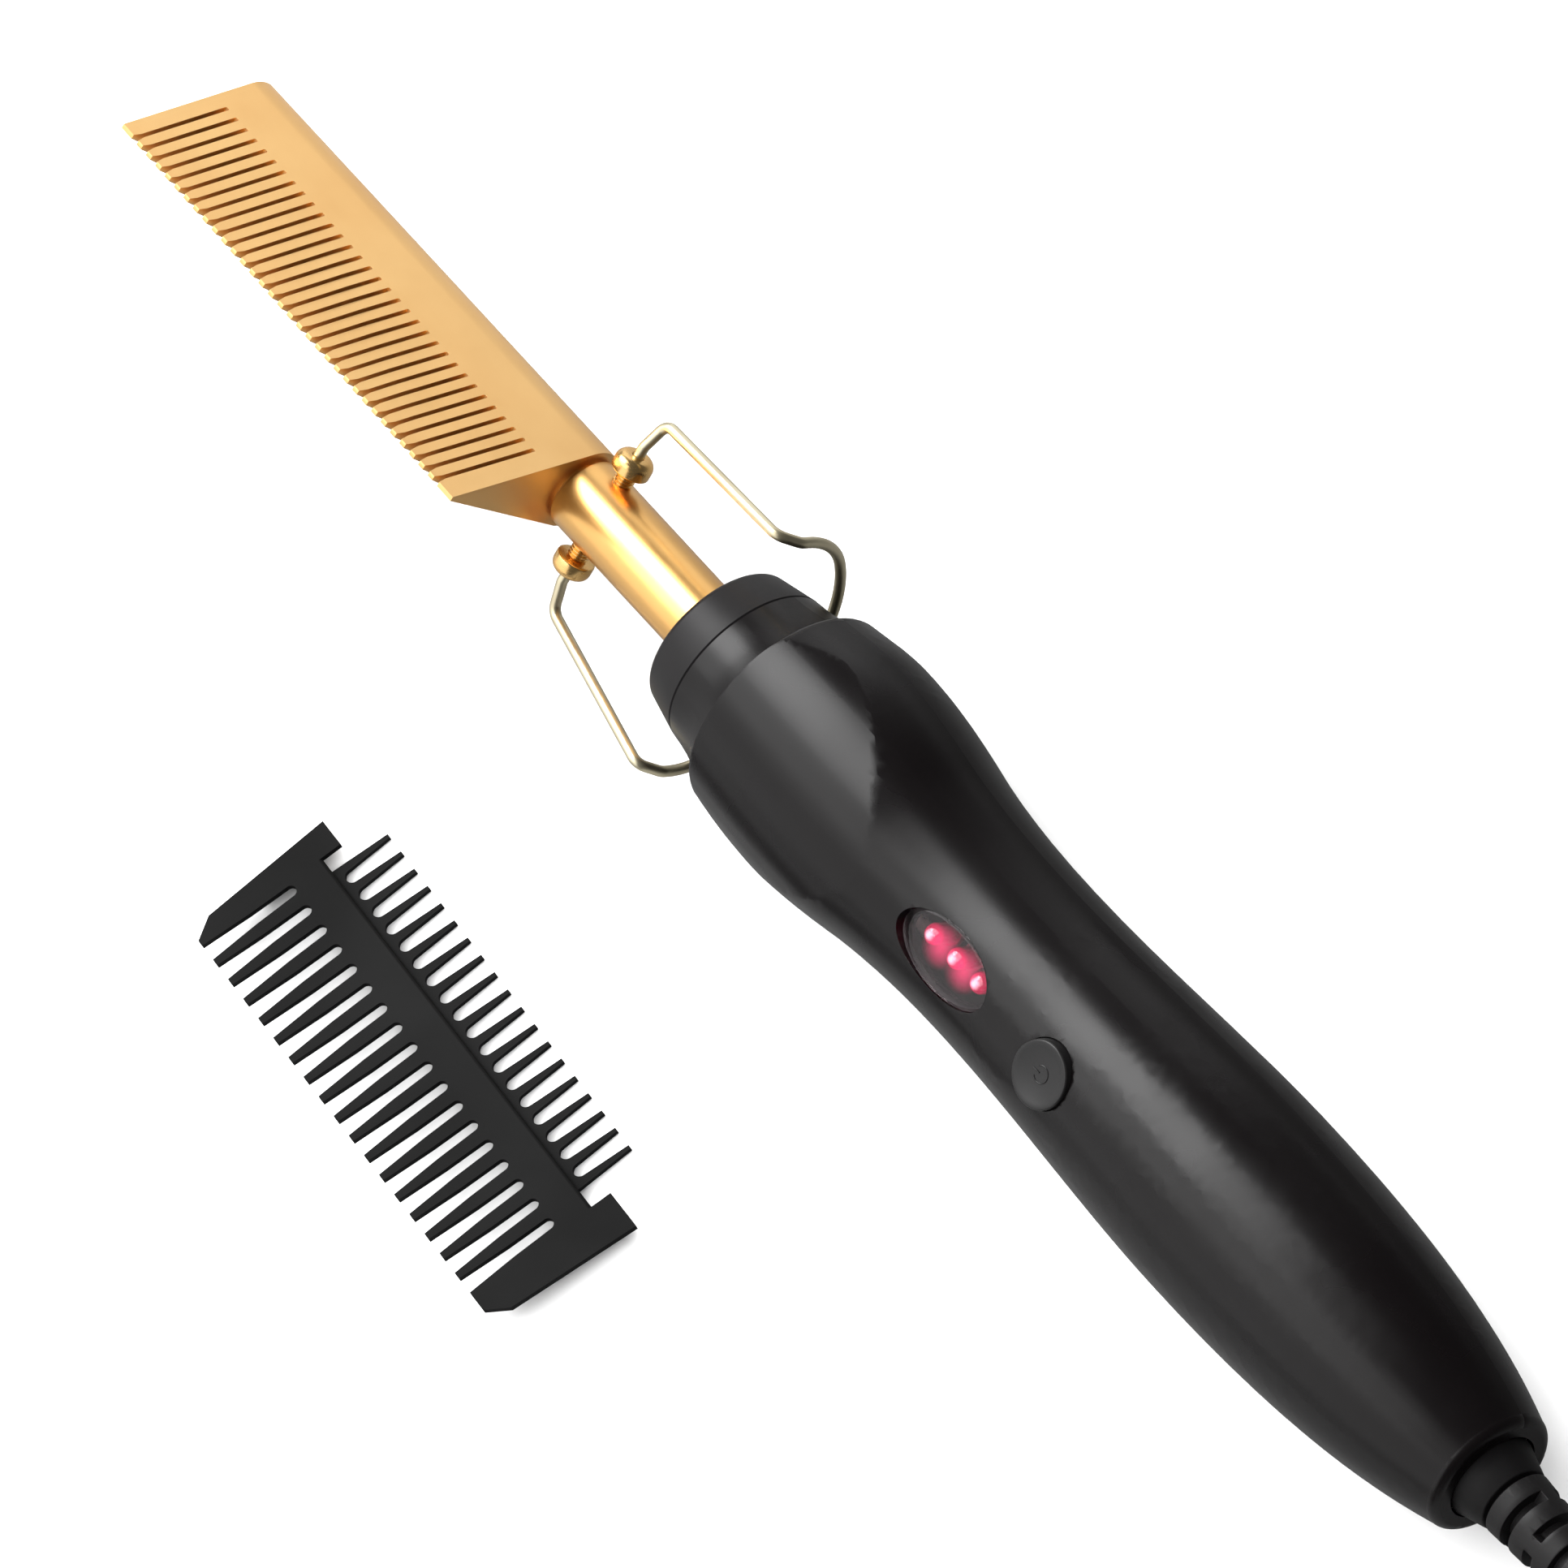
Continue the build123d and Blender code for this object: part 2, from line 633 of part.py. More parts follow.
lamp_top = window_floor - lamp_under_lens
lamp_foot = board_top + lamp_leg_height
lamp_places = [(window_x + step * lamp_pitch, 0) for step in (-1, 0, 1)]
with BuildPart() as indicator_lamps:
    with BuildSketch(level(board_top)):
        with Locations(*lamp_places):
            with Locations((0, lamp_radius / 2), (0, -lamp_radius / 2)):
                Circle(lamp_leg_radius)
    extrude(amount=lamp_leg_height)
    with BuildSketch(level(lamp_foot)):
        with Locations(*lamp_places):
            Circle(lamp_radius + lamp_flange)
    extrude(amount=lamp_flange_height)
    with BuildSketch(level(lamp_foot)):
        with Locations(*lamp_places):
            Circle(lamp_radius)
    extrude(amount=lamp_top - lamp_foot)
    domes = indicator_lamps.faces().sort_by(Axis(origin, teeth_way))[-3:].edges()
    fillet(domes, lamp_radius * 0.95)
save(indicator_lamps.part, "indicator_lamps")

# ================================================================ button, plunger and switch
flange_top = button_guide_level - button_stop_gap
switch_top = board_top + switch_height
plunger_top = switch_top + plunger_stand

with BuildPart() as power_button:
    with BuildSketch(level(flange_top - button_flange_thickness, button_x)):
        Circle(button_radius + button_flange)
    extrude(amount=button_flange_thickness)
    with BuildSketch(level(flange_top, button_x)):
        Circle(button_radius)
    extrude(amount=button_rim_level - flange_top)
    fillet(power_button.edges().sort_by(Axis(origin, teeth_way))[-1:], button_gap * 2)
    with BuildSketch(level(plunger_top, button_x)):
        Circle(button_stem_radius)
    extrude(amount=flange_top - plunger_top)
    dish_reach = sqrt(button_dish_radius ** 2 - (button_radius - button_rim_land) ** 2)
    with Locations(place(button_x, 0, button_rim_level + dish_reach)):
        Sphere(button_dish_radius, mode=Mode.SUBTRACT)
save(power_button.part, "power_button")

with BuildPart() as switch_plunger:
    with BuildSketch(level(switch_top - plunger_hold, button_x)):
        Circle(plunger_radius)
    extrude(amount=plunger_hold + plunger_stand)
save(switch_plunger.part, "switch_plunger")

with BuildPart() as power_switch:
    with BuildSketch(level(board_top, button_x)):
        Rectangle(switch_size, switch_size)
    extrude(amount=switch_height)
    with BuildSketch(level(switch_top, button_x)):
        Circle(plunger_radius + running_gap)
    extrude(amount=-plunger_hold - button_travel - running_gap, mode=Mode.SUBTRACT)
save(power_switch.part, "power_switch")

# ================================================================ control board and what is on it
board_under = board_top - board_thickness
with BuildPart() as control_board:
    with BuildSketch(level(board_under, (board_start_x + board_end_x) / 2)):
        RectangleRounded(board_end_x - board_start_x, 2 * board_half_width, 1.5)
    extrude(amount=board_thickness)
    with BuildSketch(level(board_under)):
        with at_places(board_post_places):
            Circle(board_screw_radius + slip_fit)
    extrude(amount=board_thickness, mode=Mode.SUBTRACT)
save(control_board.part, "control_board")

with BuildPart() as board_screws:
    with BuildSketch(level(board_under)):
        with at_places(board_post_places):
            Circle(board_screw_radius)
    extrude(amount=board_screw_length)
    with BuildSketch(level(board_under)):
        with at_places(board_post_places):
            Circle(board_screw_head_radius)
    extrude(amount=-board_screw_head_height)
save(board_screws.part, "board_screws")

with BuildPart() as film_capacitor:
    with BuildSketch(level(board_under, capacitor_x)):
        RectangleRounded(capacitor_size[0], capacitor_size[1], 0.8)
    extrude(amount=-capacitor_size[2])
save(film_capacitor.part, "film_capacitor")

with BuildPart() as triac:
    with BuildSketch(level(board_under, triac_x)):
        Rectangle(triac_size[0], triac_size[1])
    extrude(amount=-triac_size[2])
save(triac.part, "triac")

with BuildPart() as supply_leads:
    for hand in (-1, 1):
        with BuildSketch(section(board_end_x - lead_lap)):
            with Locations((hand * lead_board_spread, lead_low)):
                Circle(lead_radius)
    extrude(amount=socket_start_x - board_end_x + lead_lap)
save(supply_leads.part, "supply_leads")

# ================================================================ swivel: socket, spindle, clip, contacts
socket_bore = spindle_radius + running_gap
chamber_end_x = clip_x + clip_width + clip_chamber / 2

with BuildPart() as swivel_socket:
    add(turned([(socket_start_x, socket_radius), (socket_end_x, socket_radius)], socket_bore))
    add(turned([(socket_start_x, clip_radius + clip_chamber), (chamber_end_x, clip_radius + clip_chamber)]),
        mode=Mode.SUBTRACT)
    add(turned([(socket_groove_x, socket_radius), (socket_groove_x + socket_groove_width, socket_radius)],
               socket_radius - socket_groove_depth), mode=Mode.SUBTRACT)
    for x in contact_ring_places:
        with BuildSketch(section(x - brush_width / 2 - slip_fit)):
            Rectangle(2 * socket_radius, brush_width + 2 * slip_fit)
        extrude(amount=brush_width + 2 * slip_fit, mode=Mode.SUBTRACT)
save(swivel_socket.part, "swivel_socket")

with BuildPart() as contact_brushes:
    brush_inner = spindle_radius + running_gap
    for x in contact_ring_places:
        with BuildSketch(section(x - brush_width / 2)):
            for hand in (-1, 1):
                with Locations((hand * (brush_inner + socket_radius) / 2, 0)):
                    Rectangle(socket_radius - brush_inner, brush_width)
        extrude(amount=brush_width)
save(contact_brushes.part, "contact_brushes")

def contact_band(x):
    """One contact ring, let into the spindle."""
    start, end = x - contact_ring_width / 2, x + contact_ring_width / 2
    return turned([(start, spindle_radius), (end, spindle_radius)], spindle_radius - contact_ring_wall)


with BuildPart() as swivel_ring:
    add(turned([(spindle_start_x, spindle_radius), (ring_start_x, spindle_radius),
                (ring_start_x, ring_start_radius), (tail_x, ring_start_radius),
                (ring_end_x, ring_end_radius)], spindle_bore))
    for x in contact_ring_places:
        add(contact_band(x), mode=Mode.SUBTRACT)
    add(turned([(clip_x, spindle_radius), (clip_x + clip_width, spindle_radius)],
               spindle_radius - clip_groove), mode=Mode.SUBTRACT)
save(swivel_ring.part, "swivel_ring")

with BuildPart() as contact_rings:
    for x in contact_ring_places:
        add(contact_band(x))
save(contact_rings.part, "contact_rings")

save(turned([(clip_x, clip_radius), (clip_x + clip_width, clip_radius)], spindle_radius - clip_groove),
     "swivel_clip")

# ================================================================ strain relief
relief_start_x = ring_end_x + relief_groove_width
relief_end_x = relief_start_x + relief_length

with BuildPart() as strain_relief:
    add(turned([(ring_end_x, relief_groove_radius), (relief_start_x, relief_groove_radius),
                (relief_start_x, relief_start_radius), (relief_end_x, relief_end_radius)]))
    # cuts that make it flexible: each leaves two bridges, turned a quarter from the last
    for number in range(relief_cut_count):
        cut_x = relief_start_x + relief_first_cut + number * relief_cut_pitch
        with BuildSketch(section(cut_x)):
            Circle(relief_start_radius + 1)
            Circle(relief_core_radius, mode=Mode.SUBTRACT)
            Rectangle(4 * relief_start_radius, relief_web, rotation=90 * (number % 2), mode=Mode.SUBTRACT)
        extrude(amount=relief_cut_width, mode=Mode.SUBTRACT)
save(strain_relief.part, "strain_relief")

# ================================================================ cord
coil_half_width = coil_columns * cord_radius
coil_bottom = tie_thickness + tie_gap
coil_height = 2 * cord_radius + (coil_rows - 1) * coil_row_rise
low_turn = coil_bottom + cord_radius
high_turn = low_turn + (coil_rows - 1) * coil_row_rise
plug_level = plug_height / 2 + plug_lift
outer_turn_radius = coil_mean_radius + coil_half_width - cord_radius

handle_route = [(relief_end_x, 0, axis_height), (relief_end_x + 18, 0, axis_height),
                (relief_end_x + 43, 0, low_turn), (relief_end_x + 62, 0, low_turn)]
plug_route = [(coil_x, coil_y - outer_turn_radius, high_turn), (coil_x - 17, plug_y, plug_level),
              (coil_x - 35, plug_y, plug_level)]


def bend_radii(route):
    """Largest arc at each corner of a route: it takes 0.45 of the shorter run beside it."""
    points = [Vector(*point) for point in route]
    radii = []
    for before, corner, after in zip(points, points[1:], points[2:]):
        half_turn = radians((corner - before).get_angle(after - corner)) / 2
        radii.append(0.45 * min((corner - before).length, (after - corner).length) / tan(half_turn))
    return radii


def cord_tube(route, name):
    """Round tube of straight runs and tangent arcs; returns its length along the middle."""
    radii = bend_radii(route)
    with BuildPart() as tube:
        with BuildLine() as path:
            FilletPolyline(*route, radius=radii)
        with BuildSketch(Plane(origin=path.line @ 0, z_dir=path.line % 0)):
            Circle(cord_radius)
        sweep(path=path.line)
    length = path.wires()[0].length
    print(name, "radii", [round(r, 1) for r in radii], "length", round(length, 1),
          "volume ratio", round(tube.part.volume / (pi * cord_radius ** 2 * length), 4))
    save(tube.part, name)
    return length


handle_run = cord_tube(handle_route, "power_cord")
plug_run = cord_tube(plug_route, "plug_cord")

coil_axis = Axis((coil_x, coil_y, 0), (0, 0, 1))
coil_plane = Plane(origin=(coil_x, coil_y, 0), x_dir=(1, 0, 0), z_dir=(0, -1, 0))
with BuildPart() as cord_coil:
    with BuildSketch(coil_plane):
        with Locations((coil_mean_radius, coil_bottom + coil_height / 2)):
            RectangleRounded(2 * coil_half_width, coil_height, cord_radius * 0.9)
    revolve(axis=coil_axis)
save(cord_coil.part, "cord_coil")

turn_count = coil_columns * coil_rows - 0.5
coil_run = 2 * pi * coil_mean_radius * turn_count
print("cord length", round(handle_run + coil_run + plug_run, 0), "of", cord_real_length)

tie_arc = degrees(tie_width / coil_mean_radius)
tie_plane = Plane(origin=(coil_x, coil_y, 0), x_dir=(cos(radians(tie_angle)), sin(radians(tie_angle)), 0),
                  z_dir=(sin(radians(tie_angle)), -cos(radians(tie_angle)), 0))
with BuildPart() as cord_tie:
    with BuildSketch(tie_plane):
        with Locations((coil_mean_radius, coil_bottom + coil_height / 2)):
            RectangleRounded(2 * (coil_half_width + tie_gap + tie_thickness),
                             coil_height + 2 * (tie_gap + tie_thickness), cord_radius)
            RectangleRounded(2 * (coil_half_width + tie_gap), coil_height + 2 * tie_gap, cord_radius * 0.8,
                             mode=Mode.SUBTRACT)
    revolve(axis=coil_axis, revolution_arc=tie_arc)
save(cord_tie.part, "cord_tie")

# ================================================================ plug with two flat angled pins
plug_start = Vector(coil_x - 35, plug_y, plug_level)


def plug_section(distance):
    """Plane across the plug, `distance` beyond the end of its cord: x is across, y is up."""
    return Plane(origin=plug_start - along * distance, x_dir=(0, -1, 0), z_dir=(-1, 0, 0))


with BuildPart() as plug_body:
    with BuildSketch(plug_section(0)):
        Circle(cord_radius + plug_tail_lip)
    with BuildSketch(plug_section(plug_tail_length)):
        Circle(plug_tail_radius)
    loft()
    with BuildSketch(plug_section(plug_tail_length)):
        RectangleRounded(plug_width * plug_shoulder_share, plug_height * plug_shoulder_share, 3)
    with BuildSketch(plug_section(plug_tail_length + plug_length / 2)):
        RectangleRounded(plug_width, plug_height, 5)
    loft()
    with BuildSketch(plug_section(plug_tail_length + plug_length / 2)):
        RectangleRounded(plug_width, plug_height, 5)
    extrude(amount=plug_length / 2)
    face_edges = plug_body.faces().sort_by(Axis.X)[0].edges()
    fillet(face_edges, 0.8)
    for hand in (-1, 1):
        with BuildSketch(plug_section(plug_tail_length + plug_length)):
            with Locations((hand * pin_blade_pitch / 2, 0)):
                Rectangle(pin_blade_thickness, pin_blade_width, rotation=-hand * pin_blade_turn)
        extrude(amount=-pin_root, mode=Mode.SUBTRACT)
save(plug_body.part, "plug_body")

with BuildPart() as plug_pins:
    for hand in (-1, 1):
        with BuildSketch(plug_section(plug_tail_length + plug_length - pin_root)):
            with Locations((hand * pin_blade_pitch / 2, 0)):
                Rectangle(pin_blade_thickness, pin_blade_width, rotation=-hand * pin_blade_turn)
        extrude(amount=pin_root + pin_blade_length)
    tips = plug_pins.faces().sort_by(Axis.X)[:2].edges().group_by(SortBy.LENGTH)[-1]
    chamfer(tips, pin_blade_thickness * 0.3)
save(plug_pins.part, "plug_pins")

# ================================================================ guard comb
guard_run = Vector(cos(radians(guard_yaw)), sin(radians(guard_yaw)), 0)
guard_level_back = Vector(-sin(radians(guard_yaw)), cos(radians(guard_yaw)), 0)
guard_back = guard_level_back * cos(radians(guard_tilt)) + Vector(0, 0, -sin(radians(guard_tilt)))
guard_plane = Plane(origin=(guard_corner_x, guard_corner_y, guard_height), x_dir=guard_run,
                    z_dir=guard_run.cross(guard_back))     # x along the bar, -y towards the long tips
guard_lip_bottom = guard_plate + guard_lip_depth
chamfer_run, chamfer_reach = guard_end_chamfer
long_tab, short_tab = guard_tab_lengths[1], guard_tab_lengths[0]
guard_bar_length = guard_length - short_tab - long_tab
guard_middle = (guard_length + short_tab - long_tab) / 2
guard_slot_pitch = (guard_length - guard_slot_first - guard_slot_last) / (guard_slot_count - 1)
guard_fine_pitch = (guard_length - guard_fine_first - guard_fine_last) / (guard_fine_count - 1)
guard_fine_end = guard_length - guard_fine_last

with BuildPart() as guard_comb:
    # plate with its two tabs and tapered ends
    with BuildSketch(guard_plane):
        with BuildLine():
            Polyline((0, 0), (short_tab, 0), (short_tab, -guard_bar_edge),
                     (guard_length - long_tab, -guard_bar_edge), (guard_length - long_tab, 0),
                     (guard_length, 0),
                     (guard_length - guard_end_taper, chamfer_reach - guard_tip_reach),
                     (guard_length - guard_end_taper - chamfer_run, -guard_tip_reach),
                     (guard_end_taper + chamfer_run, -guard_tip_reach),
                     (guard_end_taper, chamfer_reach - guard_tip_reach), close=True)
        make_face()
    extrude(amount=-guard_plate)
    # lip along the bar's edge, which carries the fine teeth
    with BuildSketch(guard_plane.offset(-guard_lip_bottom)):
        with Locations((guard_middle, -guard_bar_edge - guard_lip_width / 2)):
            Rectangle(guard_bar_length, guard_lip_width)
    extrude(amount=guard_lip_bottom)
    lip_edge = guard_comb.edges().filter_by(lambda edge: abs(edge.length - guard_bar_length) < 0.01)
    lip_edge = lip_edge.filter_by(lambda edge: abs(guard_plane.to_local_coords(edge @ 0.5).Z) < 0.01)
    fillet(lip_edge, guard_lip_round)
    # two feet, cut level where they stand on the table
    with BuildSketch(guard_plane.offset(-guard_plate)):
        for start in (guard_foot_insets[0], guard_length - guard_foot_insets[1] - guard_foot):
            with Locations((start + guard_foot / 2, -(guard_bar_edge + guard_foot_reach) / 2)):
                Rectangle(guard_foot, guard_foot_reach - guard_bar_edge)
    extrude(amount=-3 * guard_height)
    split(bisect_by=Plane.XY, keep=Keep.TOP)
    # slots between the long teeth: narrow and round at the root, wider at the mouth
    with BuildSketch(guard_plane):
        for number in range(guard_slot_count):
            centre = guard_slot_first + number * guard_slot_pitch
            root, bend, mouth = [width / 2 for width in guard_slot_widths]
            with BuildLine():
                Polyline((centre - root, -guard_slot_root - root), (centre - bend, -guard_slot_bend),
                         (centre - mouth, -guard_tip_reach - 1), (centre + mouth, -guard_tip_reach - 1),
                         (centre + bend, -guard_slot_bend), (centre + root, -guard_slot_root - root))
                ThreePointArc((centre + root, -guard_slot_root - root), (centre, -guard_slot_root),
                              (centre - root, -guard_slot_root - root))
            make_face()
    extrude(amount=-guard_plate * 2, mode=Mode.SUBTRACT)
    # fine teeth on the other side of the bar: a strip with gaps that are round at the root
    with BuildSketch(guard_plane.offset(-guard_lip_bottom)):
        mouth_y = guard_fine_reach - guard_bar_edge
        with BuildLine():
            Polyline((guard_fine_first - guard_fine_root_width / 2, -guard_bar_edge),
                     (guard_fine_first - guard_fine_tip_width / 2, mouth_y),
                     (guard_fine_end + guard_fine_tip_width / 2, mouth_y),
                     (guard_fine_end + guard_fine_root_width / 2, -guard_bar_edge), close=True)
        make_face()
        for number in range(guard_fine_count - 1):
            centre = guard_fine_first + (number + 0.5) * guard_fine_pitch
            root = (guard_fine_pitch - guard_fine_root_width) / 2
            mouth = (guard_fine_pitch - guard_fine_tip_width) / 2
            root_y = guard_fine_root - guard_bar_edge
            with BuildLine():
                Polyline((centre - root, root_y + root), (centre - mouth, mouth_y),
                         (centre + mouth, mouth_y), (centre + root, root_y + root))
                ThreePointArc((centre + root, root_y + root), (centre, root_y),
                              (centre - root, root_y + root))
            make_face(mode=Mode.SUBTRACT)
    extrude(amount=guard_fine_thickness)
save(guard_comb.part, "guard_comb")
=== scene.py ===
import json
import math

import bpy
from mathutils import Matrix, Vector


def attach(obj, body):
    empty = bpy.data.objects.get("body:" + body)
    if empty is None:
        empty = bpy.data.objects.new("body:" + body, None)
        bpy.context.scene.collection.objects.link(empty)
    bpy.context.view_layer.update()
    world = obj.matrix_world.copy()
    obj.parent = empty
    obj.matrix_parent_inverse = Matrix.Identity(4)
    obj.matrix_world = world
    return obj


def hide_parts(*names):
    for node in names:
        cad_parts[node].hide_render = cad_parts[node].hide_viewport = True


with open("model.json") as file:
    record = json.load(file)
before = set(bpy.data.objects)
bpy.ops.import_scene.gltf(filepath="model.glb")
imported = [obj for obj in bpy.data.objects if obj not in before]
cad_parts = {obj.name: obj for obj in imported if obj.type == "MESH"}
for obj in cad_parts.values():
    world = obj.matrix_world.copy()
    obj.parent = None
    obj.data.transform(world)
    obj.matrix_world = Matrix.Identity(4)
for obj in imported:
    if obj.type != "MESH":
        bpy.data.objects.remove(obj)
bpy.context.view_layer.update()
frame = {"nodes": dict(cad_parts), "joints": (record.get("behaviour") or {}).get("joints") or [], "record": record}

mm = 0.001
joints = {joint["name"]: joint for joint in frame["joints"]}
alongWay = Vector((1, 0, 0))
sideWay = Vector(joints["stand_pivot"]["axis"])
teethWay = -Vector(joints["button_press"]["axis"])
axisHeight = joints["stand_pivot"]["pos_m"][2]

# tool space: x along the barrel from the stand's pivot, y sideways, z towards the teeth, in millimetres
toolAxes = Matrix((alongWay, sideWay, teethWay)).transposed().to_4x4()
toolToFrame = Matrix.Translation((0, 0, axisHeight)) @ toolAxes @ Matrix.Scale(mm, 4)

# ---- camera, in metres and degrees
camera = {"azimuth": 90, "elevation": 62, "roll": 42.7, "distance": 8.0, "sensor": 36, "viewWidth": 0.2125,
          "clipEnd": 20, "lookAt": Vector((0.0494, -0.0068, axisHeight))}


def addCamera():
    azimuth, elevation, roll = (math.radians(camera[key]) for key in ("azimuth", "elevation", "roll"))
    back = Vector((math.sin(azimuth) * math.cos(elevation), -math.cos(azimuth) * math.cos(elevation),
                   math.sin(elevation)))
    level = Vector((math.cos(azimuth), math.sin(azimuth), 0))
    steep = back.cross(level)
    right = level * math.cos(roll) - steep * math.sin(roll)
    up = level * math.sin(roll) + steep * math.cos(roll)
    bpy.ops.object.camera_add(location=camera["lookAt"] + back * camera["distance"])
    eye = bpy.context.object
    eye.rotation_euler = Matrix((right, up, back)).transposed().to_euler()
    eye.data.sensor_width = camera["sensor"]
    eye.data.lens = camera["sensor"] * camera["distance"] / camera["viewWidth"]
    eye.data.clip_end = camera["clipEnd"]
    bpy.context.scene.camera = eye


addCamera()
print("camera ready")

# ---- cord, in millimetres; the turns are counted from the coil's start
cord = {"radius": 3.0, "exitX": 231.0, "lift": axisHeight / mm, "levelFor": 18, "tableAfter": 43, "coilAfter": 62,
        "coilX": 300.0, "coilY": -45.0, "lowLevel": 4.2, "highLevel": 9.8, "outerTurn": 45.0, "innerTurn": 27.0,
        "turns": 7.5, "pointsPerTurn": 16, "changeTurn": 3.75, "windFrom": (0.4, 4.1), "windTurns": 3.0,
        "plugX": 265.0, "plugY": -92.0, "plugLevel": 8.7, "plugLead": 18, "sideSteps": 6, "runSteps": 6}


def turnPoint(turn):
    # the low layer winds inwards and the high layer winds outwards, clockwise from above
    high = turn >= cord["changeTurn"]
    wound = min(1, max(0, (turn - cord["windFrom"][high]) / cord["windTurns"]))
    span = cord["outerTurn"] - cord["innerTurn"]
    radius = cord["innerTurn"] + span * wound if high else cord["outerTurn"] - span * wound
    angle = math.pi / 2 - 2 * math.pi * turn
    return (cord["coilX"] + radius * math.cos(angle), cord["coilY"] + radius * math.sin(angle),
            cord["highLevel"] if high else cord["lowLevel"])


def cordPoints():
    exitX, lift, table = cord["exitX"], cord["lift"], cord["lowLevel"]
    plugX, plugY, plugLevel = cord["plugX"], cord["plugY"], cord["plugLevel"]
    points = [(exitX, 0, lift), (exitX + cord["levelFor"], 0, lift), (exitX + cord["tableAfter"], 0, table),
              (exitX + cord["coilAfter"], 0, table)]
    for number in range(1, int(cord["turns"] * cord["pointsPerTurn"]) + 1):
        points.append(turnPoint(number / cord["pointsPerTurn"]))
    return points + [(plugX + cord["plugLead"], plugY, plugLevel), (plugX, plugY, plugLevel)]


def addCord():
    points = cordPoints()
    shape = bpy.data.curves.new("powerCord", "CURVE")
    shape.dimensions = "3D"
    line = shape.splines.new("NURBS")
    line.points.add(len(points) - 1)
    for spot, point in zip(line.points, points):
        spot.co = (point[0] * mm, point[1] * mm, point[2] * mm, 1)
        spot.radius = cord["radius"] * mm  # times a bevel of 1, so that the curve's own box is true too
    line.order_u = 3
    line.use_endpoint_u = True
    shape.bevel_depth = 1.0
    shape.bevel_resolution = cord["sideSteps"]
    shape.resolution_u = cord["runSteps"]
    shape.use_fill_caps = True
    flex = bpy.data.objects.new("powerCord", shape)
    bpy.context.scene.collection.objects.link(flex)
    return flex


flex = addCord()
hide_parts("power_cord", "cord_coil", "plug_cord")
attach(flex, "handle")
print("cord wound")

# ---- surface effects, as groups


def newGroup(name, inputs, outputs):
    group = bpy.data.node_groups.new(name, "ShaderNodeTree")
    for label, kind, value in inputs:
        socket = group.interface.new_socket(label, in_out="INPUT", socket_type=kind)
        if value is not None:
            socket.default_value = value
    for label, kind in outputs:
        group.interface.new_socket(label, in_out="OUTPUT", socket_type=kind)
    return group, group.nodes.new("NodeGroupInput"), group.nodes.new("NodeGroupOutput")


def feed(tree, socket, value):
    # a socket is linked, and anything else is set
    if isinstance(value, bpy.types.NodeSocket):
        tree.links.new(value, socket)
    else:
        socket.default_value = value


def blendNode(tree, low, high, factor):
    mix = tree.nodes.new("ShaderNodeMix")
    mix.data_type = "RGBA"
    for number, value in ((6, low), (7, high), (0, factor)):
        feed(tree, mix.inputs[number], value)
    return mix.outputs[2]


def rangeNode(tree, value, low, high, fromLow=0.0, fromHigh=1.0):
    span = tree.nodes.new("ShaderNodeMapRange")
    for label, wanted in (("From Min", fromLow), ("From Max", fromHigh), ("Value", value), ("To Min", low),
                          ("To Max", high)):
        feed(tree, span.inputs[label], wanted)
    return span.outputs["Result"]


def noiseNode(tree, vector, scale, detail, stretch=None):
    if stretch:
        mapping = tree.nodes.new("ShaderNodeMapping")
        mapping.inputs["Scale"].default_value = stretch
        tree.links.new(vector, mapping.inputs["Vector"])
        vector = mapping.outputs["Vector"]
    noise = tree.nodes.new("ShaderNodeTexNoise")
    noise.inputs["Detail"].default_value = detail
    tree.links.new(vector, noise.inputs["Vector"])
    feed(tree, noise.inputs["Scale"], scale)
    return noise.outputs["Fac"]


def mathNode(tree, operation, *values):
    node = tree.nodes.new("ShaderNodeMath")
    node.operation = operation
    for socket, value in zip(node.inputs, values):
        feed(tree, socket, value)
    return node.outputs[0]


mouldLook = {"grainDetail": 3.0, "sheenScale": 55.0, "sheenDetail": 2.0, "sheenSpan": (0.35, 0.65)}
drawnLook = {"lineStretch": (150.0, 5200.0, 5200.0), "lineDetail": 5.0, "patchScale": 130.0, "patchDetail": 3.0,
             "lineShare": 0.55, "glossSpan": (0.55, 1.0)}
handlingLook = {"detail": 5.0, "span": (0.4, 0.68)}


def buildMouldGrain():
    # fine spark-eroded grain of moulded plastic, with slow changes of gloss
    group, source, result = newGroup("mouldGrain", [("Vector", "NodeSocketVector", None),
                                                    ("Grain Scale", "NodeSocketFloat", 3000.0),
                                                    ("Low Roughness", "NodeSocketFloat", 0.3),
                                                    ("High Roughness", "NodeSocketFloat", 0.4)],
                                     [("Height", "NodeSocketFloat"), ("Roughness", "NodeSocketFloat")])
    vector = source.outputs["Vector"]
    grain = noiseNode(group, vector, source.outputs["Grain Scale"], mouldLook["grainDetail"])
    sheen = noiseNode(group, vector, mouldLook["sheenScale"], mouldLook["sheenDetail"])
    gloss = rangeNode(group, sheen, source.outputs["Low Roughness"], source.outputs["High Roughness"],
                      *mouldLook["sheenSpan"])
    group.links.new(grain, result.inputs["Height"])
    group.links.new(gloss, result.inputs["Roughness"])
    return group


